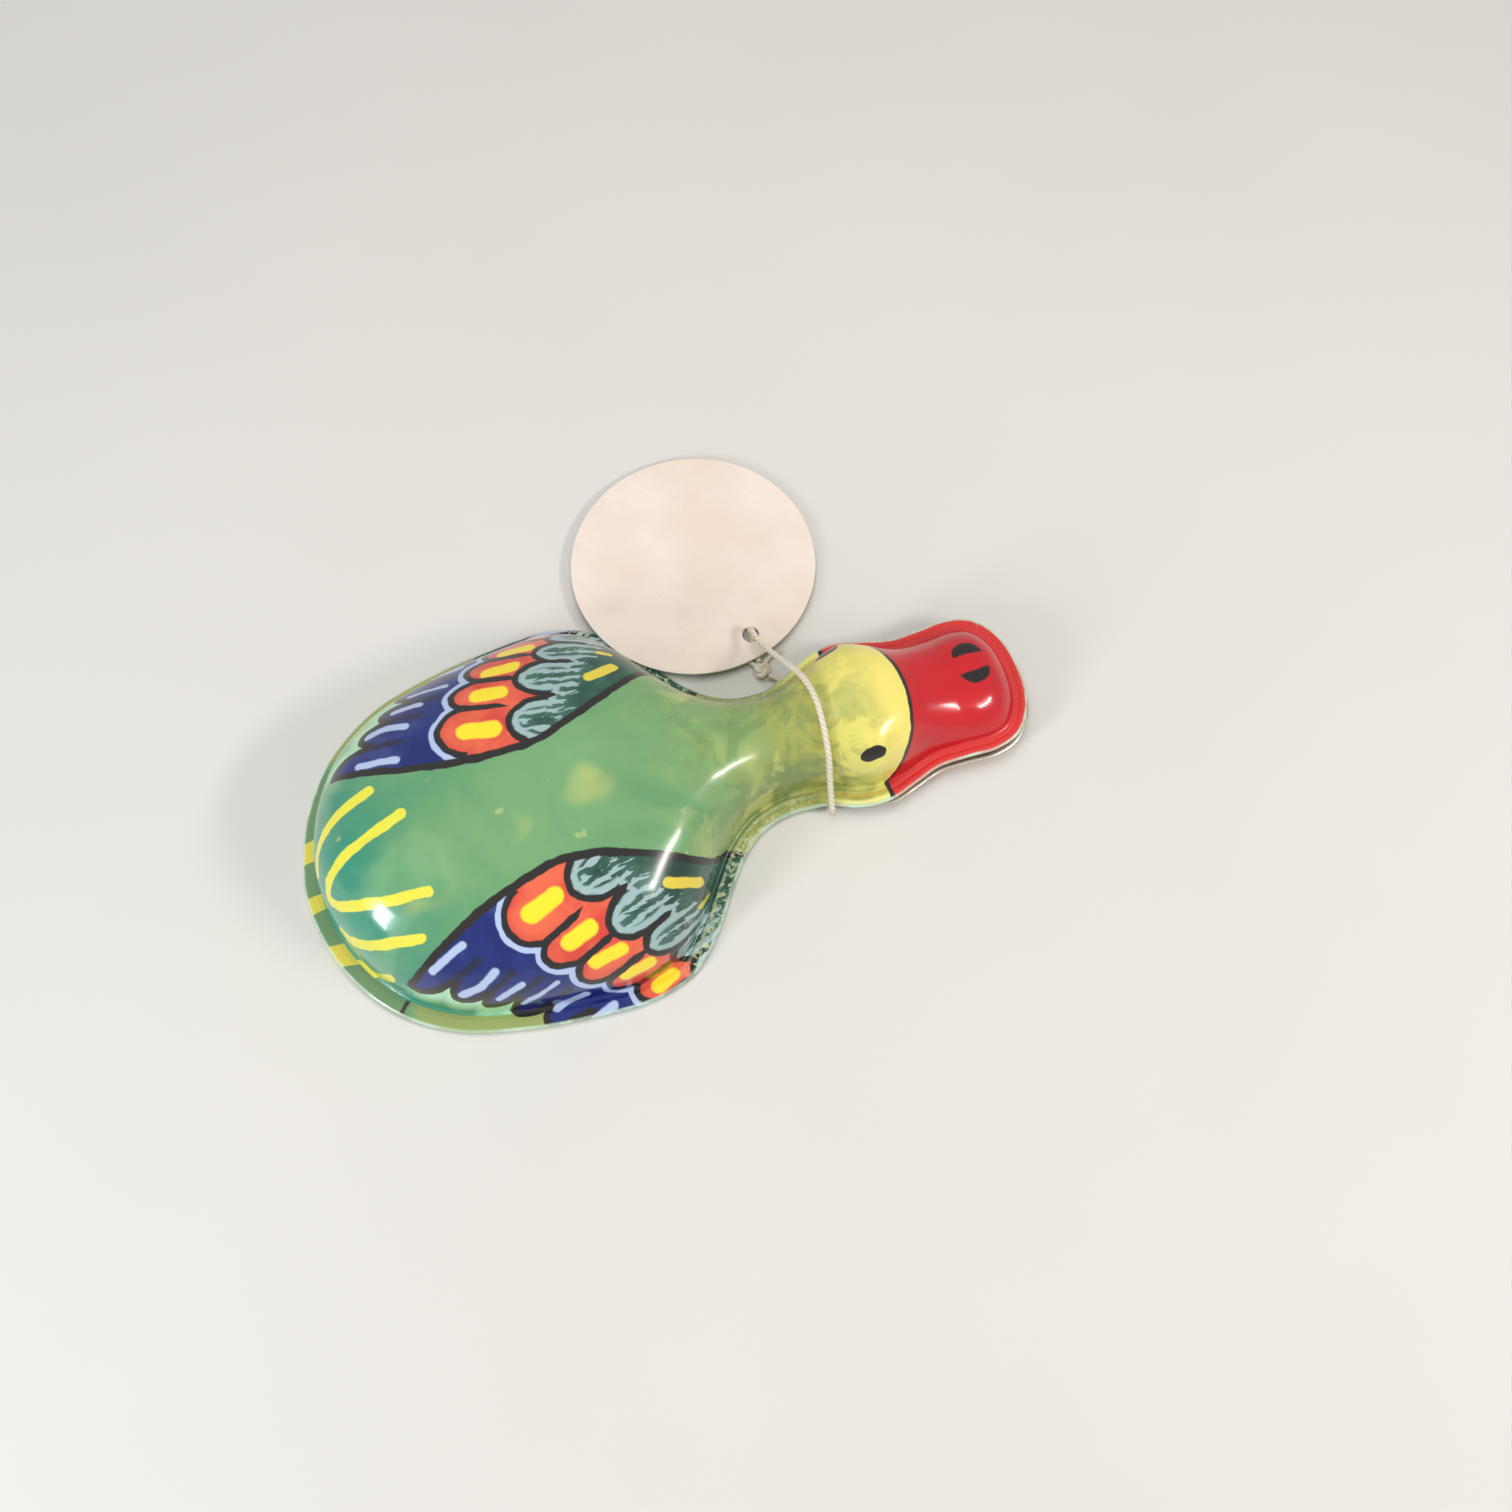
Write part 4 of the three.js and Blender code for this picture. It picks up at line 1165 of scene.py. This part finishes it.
def body_shell(materials):
    """The printed stamping: printed outside, a bare cut edge, and gold inside."""
    sections = [shell_section(*point) for point in plan_outline(OUTLINE_STEPS)]
    rings = [[at(*section[k][0]) for section in sections] for k in range(len(sections[0]))]
    bm = new_form()
    laid = bm.verts.layers.float_vector.new("print_place")

    def sheet_side(k):
        if k < PRINTED_RINGS - 1:
            return 0
        return 2 if k < PRINTED_RINGS else 1

    made = loft(bm, rings, material_of=sheet_side)
    cosine = sqrt(1 - PRINT_TURN ** 2)
    for k, ring in enumerate(made):
        for vert, section in zip(ring, sections):
            (u, v), rim = section[k][1:]
            u -= PRINT_PIVOT
            vert[laid] = (PRINT_PIVOT + u * cosine + v * PRINT_TURN, v * cosine - u * PRINT_TURN, rim)
    bmesh.ops.remove_doubles(bm, verts=made[0] + made[-1], dist=2e-8)
    bmesh.ops.recalc_face_normals(bm, faces=bm.faces)
    return finish_piece("printed_shell", bm, materials)


def lower_bill(materials):
    """The pan with its rolled bare rim and pinked inner edge."""
    edge = []
    for x, y, nx, ny, run in plan_outline(10):
        if x > JAW_BACK:
            out = JAW_TUCK + (JAW_OVERHANG - JAW_TUCK) * smooth_between(JAW_BACK, JAW_BACK + 9, x)
            edge.append((x - nx * out, y - ny * out, run))
    corner = edge[0][1]
    edge += [(JAW_BACK, corner * share, 0) for share in (-0.75, -0.5, -0.25, 0, 0.25, 0.5, 0.75)]

    def ring(inward, up, lift, teeth):
        points = []
        for x, y, run in edge:
            pinked = teeth * (0.5 + 0.5 * cos(run * 2 * pi / PINKING_PITCH))
            share = (inward + pinked) / JAW_HALF
            px = x + (JAW_MIDDLE - x) * share
            rim = brim_top(px) - LIP_DEPTH - through(JAW_GAPS, px)
            points.append(at(px, y * (1 - share), rim - (1 - up) * through(JAW_DEPTHS, px) + lift))
        return points

    def side(k):
        if k < PAN_GOLD_BANDS:
            return 1
        return 2 if k < PAN_BARE_BANDS else 0

    bm = new_form()
    made = loft(bm, [ring(*row) for row in PAN_SECTION], material_of=side)
    ends = [bm.faces.new(verts) for verts in (made[0], made[-1])]
    bmesh.ops.recalc_face_normals(bm, faces=bm.faces)
    for face in ends:
        face.material_index = 1 if face.normal.z > 0 else 0
    return finish_piece("lower_bill_pan", bm, materials)


def lever_tail(material):
    """The jaw's lever and ears, from the frame's own lower bill, without its pan."""
    bm = frame_copy("lower_bill")
    sides = [((LEVER_FRONT, 0, 0), (1, 0, 0))]
    sides += [((0, side * LEVER_HALF_WIDTH, 0), (0, side, 0)) for side in (1, -1)]
    for place, outward in sides:
        cut(bm, at(*place), outward, clear=True)
        bmesh.ops.holes_fill(bm, edges=[e for e in bm.edges if e.is_boundary], sides=0)
    bmesh.ops.recalc_face_normals(bm, faces=bm.faces)
    return finish_piece("jaw_lever", bm, [material], smooth=False)


def window_lip(material):
    """The belly window's edge, turned down over itself and burnished."""
    path = []
    far, side = WINDOW_FRONT - WINDOW_CORNER, WINDOW_HALF_WIDTH - WINDOW_CORNER
    near = WINDOW_BACK + WINDOW_CORNER
    radius = WINDOW_CORNER + 0.05
    for cx, cy, first in ((far, -side, -90), (far, side, 0), (near, side, 90), (near, -side, 180)):
        for k in range(13):
            angle = radians(first + 90 * k / 12)
            path.append(Vector((cx + radius * cos(angle), cy + radius * sin(angle), 0)))
    middle = Vector(((WINDOW_BACK + WINDOW_FRONT) / 2, 0, 0))
    rings = []
    for k in range(12):
        angle = 2 * pi * k / 12
        out = WINDOW_LIP_PLACE[0] + WINDOW_LIP * cos(angle)
        height = WINDOW_LIP_PLACE[1] + WINDOW_LIP * sin(angle)
        places = [p + (p - middle).normalized() * out for p in path]
        rings.append([at(p.x, p.y, height) for p in places])
    bm = new_form()
    close_loft(bm, rings)
    return finish_piece("window_lip", bm, [material])


def spring_tongue(material):
    """The clicker reed, its faces cut across many times along its length."""
    bm = frame_copy("clicker_reed")
    for k in range(1, TONGUE_CUTS):
        cut(bm, at(TONGUE_BACK + TONGUE_LENGTH * k / TONGUE_CUTS, 0, 0), (1, 0, 0))
    return finish_piece("spring_tongue", bm, [material], sharp_degrees=30)


def torsion_spring(material):
    """The coil on the hinge pin, with one arm on the lever and one under the crown."""
    x, _, z = HINGE
    half = COIL_TURNS * COIL_PITCH / 2
    points = [(x - 11, -half, SPRING_ARM_HEIGHT), (x - 5.5, -half, SPRING_ARM_HEIGHT)]
    steps = COIL_TURNS * 16
    for i in range(steps + 1):
        share = i / steps
        angle = 1.45 * pi - share * (2 * pi * COIL_TURNS + 0.9)
        points.append((x + COIL_RADIUS * cos(angle), half * (2 * share - 1),
                       z + COIL_RADIUS * sin(angle)))
    roof = through(CROWN, x - 5) - TIN - SPRING_WIRE - 0.6
    points += [(x - 3.4, half, z + 5), (x - 5, half, roof)]
    bm = new_form()
    tube(bm, spline(points, 0.22), lambda i, angle: SPRING_WIRE, 12)
    bmesh.ops.recalc_face_normals(bm, faces=bm.faces)
    return finish_piece("torsion_spring", bm, [material])


def rivet(name, side, sizes, material):
    """A turned rivet with domed heads and a small dimple from the punch."""
    x, aside, head, upper, lower = sizes
    y = side * aside
    dome = [(0, 0.24), (0.35, 0.26), (0.5, 0.34)]
    dome += [(head * 0.6, 0.33), (head * 0.85, 0.24), (head, 0.08), (head, 0)]
    profile = [(r, lower - h) for r, h in dome] + [(RIVET_SHANK, lower), (RIVET_SHANK, upper)]
    profile += [(r, upper + h) for r, h in reversed(dome)]
    bm = bmesh.new()
    verts = [bm.verts.new(at(x + r, y, z)) for r, z in profile]
    edges = [bm.edges.new(pair) for pair in zip(verts, verts[1:])]
    bmesh.ops.spin(
        bm, geom=verts + edges, cent=at(x, y, 0), axis=(0, 0, 1), dvec=(0, 0, 0),
        angle=2 * pi, steps=48, use_merge=True, use_duplicate=False,
    )
    bmesh.ops.remove_doubles(bm, verts=bm.verts, dist=1e-7)
    bmesh.ops.recalc_face_normals(bm, faces=bm.faces)
    return finish_piece(name, bm, [material], sharp_degrees=38)


def hang_tag(materials):
    """Round die cut card with softened edges and a punched hole."""
    middle = TAG_RADIUS - TAG_HOLE_INSET
    near, far = TAG_HOLE_RADIUS + 0.5, TAG_RADIUS - 1

    def circle(centre, radius, height):
        turns = [2 * pi * k / TAG_SEGMENTS for k in range(TAG_SEGMENTS)]
        return [Vector((centre + radius * cos(t), radius * sin(t), height)) * MM for t in turns]

    def side(flat, edge):
        """Circles from the hole's rim over the flat of the card to its outer rim, on one side."""
        shares = [(k / 8) ** 1.5 for k in range(9)]
        return [
            (0, TAG_HOLE_RADIUS, edge), (0, TAG_HOLE_RADIUS + 0.07, flat),
            *((middle * share, near + (far - near) * share, flat) for share in shares),
            (middle, TAG_RADIUS - TAG_WORN, flat), (middle, TAG_RADIUS, edge),
        ]

    bm = new_form()
    sides = side(TAG_SHEET, TAG_SHEET - TAG_WORN) + side(0, TAG_WORN)[::-1]
    close_loft(bm, [circle(*row) for row in sides])
    for face in bm.faces:
        upright = face.normal.z
        face.material_index = 0 if upright > 0.9 else 1 if upright < -0.9 else 2
    towards = radians(TAG_LEAN_TOWARDS)
    level = Vector((-sin(towards), cos(towards), 0))
    lean = Matrix.Rotation(radians(TAG_LEAN), 4, level)
    turn = Matrix.Rotation(radians(TAG_TOWARDS), 4, "Z")
    bmesh.ops.transform(bm, matrix=Matrix.Translation(at(*TAG_HOLE_PLACE)) @ lean @ turn, verts=bm.verts)
    return finish_piece("hang_tag_card", bm, materials, sharp_degrees=20)


# Lamps: name, place, width and depth, power, colour
LAMPS = [
    ("window", (-0.47, -0.18, 0.24), (0.08, 0.2), 1.3, (0.95, 0.98, 1)),
    ("shop lamp", (0.35, -0.27, 0.35), (0.21, 0.05), 1.1, (1, 0.97, 0.91)),
    ("soft ceiling", (0.0, 0.1, 0.7), (0.5, 0.5), 2.3, (1, 0.985, 0.96)),
]
WORLD_LIGHT = 0.38
WORLD_SEEN = 0.64


def studio():
    """Pale floor, soft lamps and an even pale world."""
    bm = bmesh.new()
    bmesh.ops.create_grid(bm, x_segments=1, y_segments=1, size=0.65)
    material, net = new_material("floor")
    cloth = net.noise(net.object_place(), 14.0, 3.0)
    net.surface({"Base Color": net.mix(cloth, tone(222, 220, 216), tone(216, 214, 210)), "Roughness": 0.8})
    floor = finish_piece("floor", bm, [material])
    floor.location.z = -0.0002
    world = bpy.context.scene.world or bpy.data.worlds.new("world")
    bpy.context.scene.world = world
    world.use_nodes = True
    sky = Net(world.node_tree)
    back = world.node_tree.nodes["Background"]
    back.inputs["Color"].default_value = (1, 0.99, 0.97, 1)
    rays = sky.node("LightPath")
    seen = sky.most(rays["Is Camera Ray"], rays["Is Glossy Ray"], rays["Is Transmission Ray"])
    sky.put(back.inputs["Strength"], sky.fade(seen, 0.0, 1.0, WORLD_LIGHT, WORLD_SEEN))
    for name, place, (width, depth), power, colour in LAMPS:
        lamp = bpy.data.lights.new(name, "AREA")
        lamp.shape = "RECTANGLE"
        lamp.size, lamp.size_y = width, depth
        lamp.energy = power
        lamp.color = colour
        stand = bpy.data.objects.new(name, lamp)
        stand.location = place
        stand.rotation_euler = (-Vector(place)).to_track_quat("-Z", "Y").to_euler()
        stand.visible_glossy = name != "soft ceiling"
        bpy.context.scene.collection.objects.link(stand)


def dress(piece, node, body=None):
    """Puts a piece on a body, if one is given, and hides the frame node whose place it takes."""
    if body:
        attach(piece, body)
    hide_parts(node)


def main():
    bpy.context.scene.view_settings.view_transform = "Standard"
    place_camera()
    thread = cotton()
    cord, route, length = neck_cord(thread)
    knot = cord_knot(thread)
    tag = hang_tag([
        card("card front", tone(240, 226, 214), tone(234, 216, 204), tone(206, 184, 168)),
        card("card reverse", tone(92, 122, 66), tone(84, 112, 60), tone(120, 148, 96)),
        card("card edge", tone(246, 240, 232), tone(236, 228, 218), tone(206, 196, 184)),
    ])
    dress(cord, "neck_cord", "root")
    dress(knot, "cord_knot", "root")
    dress(tag, "hang_tag", "root")

    inside = gold_lacquer()
    edge = bare_tin()
    bright = steel("bright steel", tone(196, 198, 200), tone(168, 170, 174), 0.24, (400, 3000, 400))
    blue = steel("spring steel", tone(128, 134, 144), tone(98, 104, 116), 0.22, (120, 3600, 3600))
    dress(body_shell([print_lacquer(), inside, edge]), "body_shell", "root")
    dress(lower_bill([red_lacquer(), inside, edge]), "lower_bill", "jaw")
    dress(lever_tail(inside), "lower_bill", "jaw")
    dress(softened_copy("belly_sheet", "belly_plate", inside, 0.08), "belly_plate", "root")
    dress(window_lip(edge), "belly_plate", "root")

    tongue = spring_tongue(blue)
    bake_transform(tongue)
    dress(tongue, "clicker_reed")
    spring = torsion_spring(blue)
    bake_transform(spring)
    dress(spring, "return_spring")

    for side, label in ((1, "left"), (-1, "right")):
        upper = rivet(f"saddle_rivet_{label}", side, SADDLE_RIVET, bright)
        dress(upper, f"bracket_rivet_{label}", "root")
        lower = rivet(f"tongue_rivet_{label}", side, REED_RIVET, bright)
        dress(lower, f"reed_rivet_{label}", "root")
    dress(softened_copy("pin_saddle", "hinge_bracket", bright, 0.1), "hinge_bracket", "root")
    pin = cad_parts["hinge_pin"].data
    pin.materials.clear()
    pin.materials.append(bright)
    studio()


main()
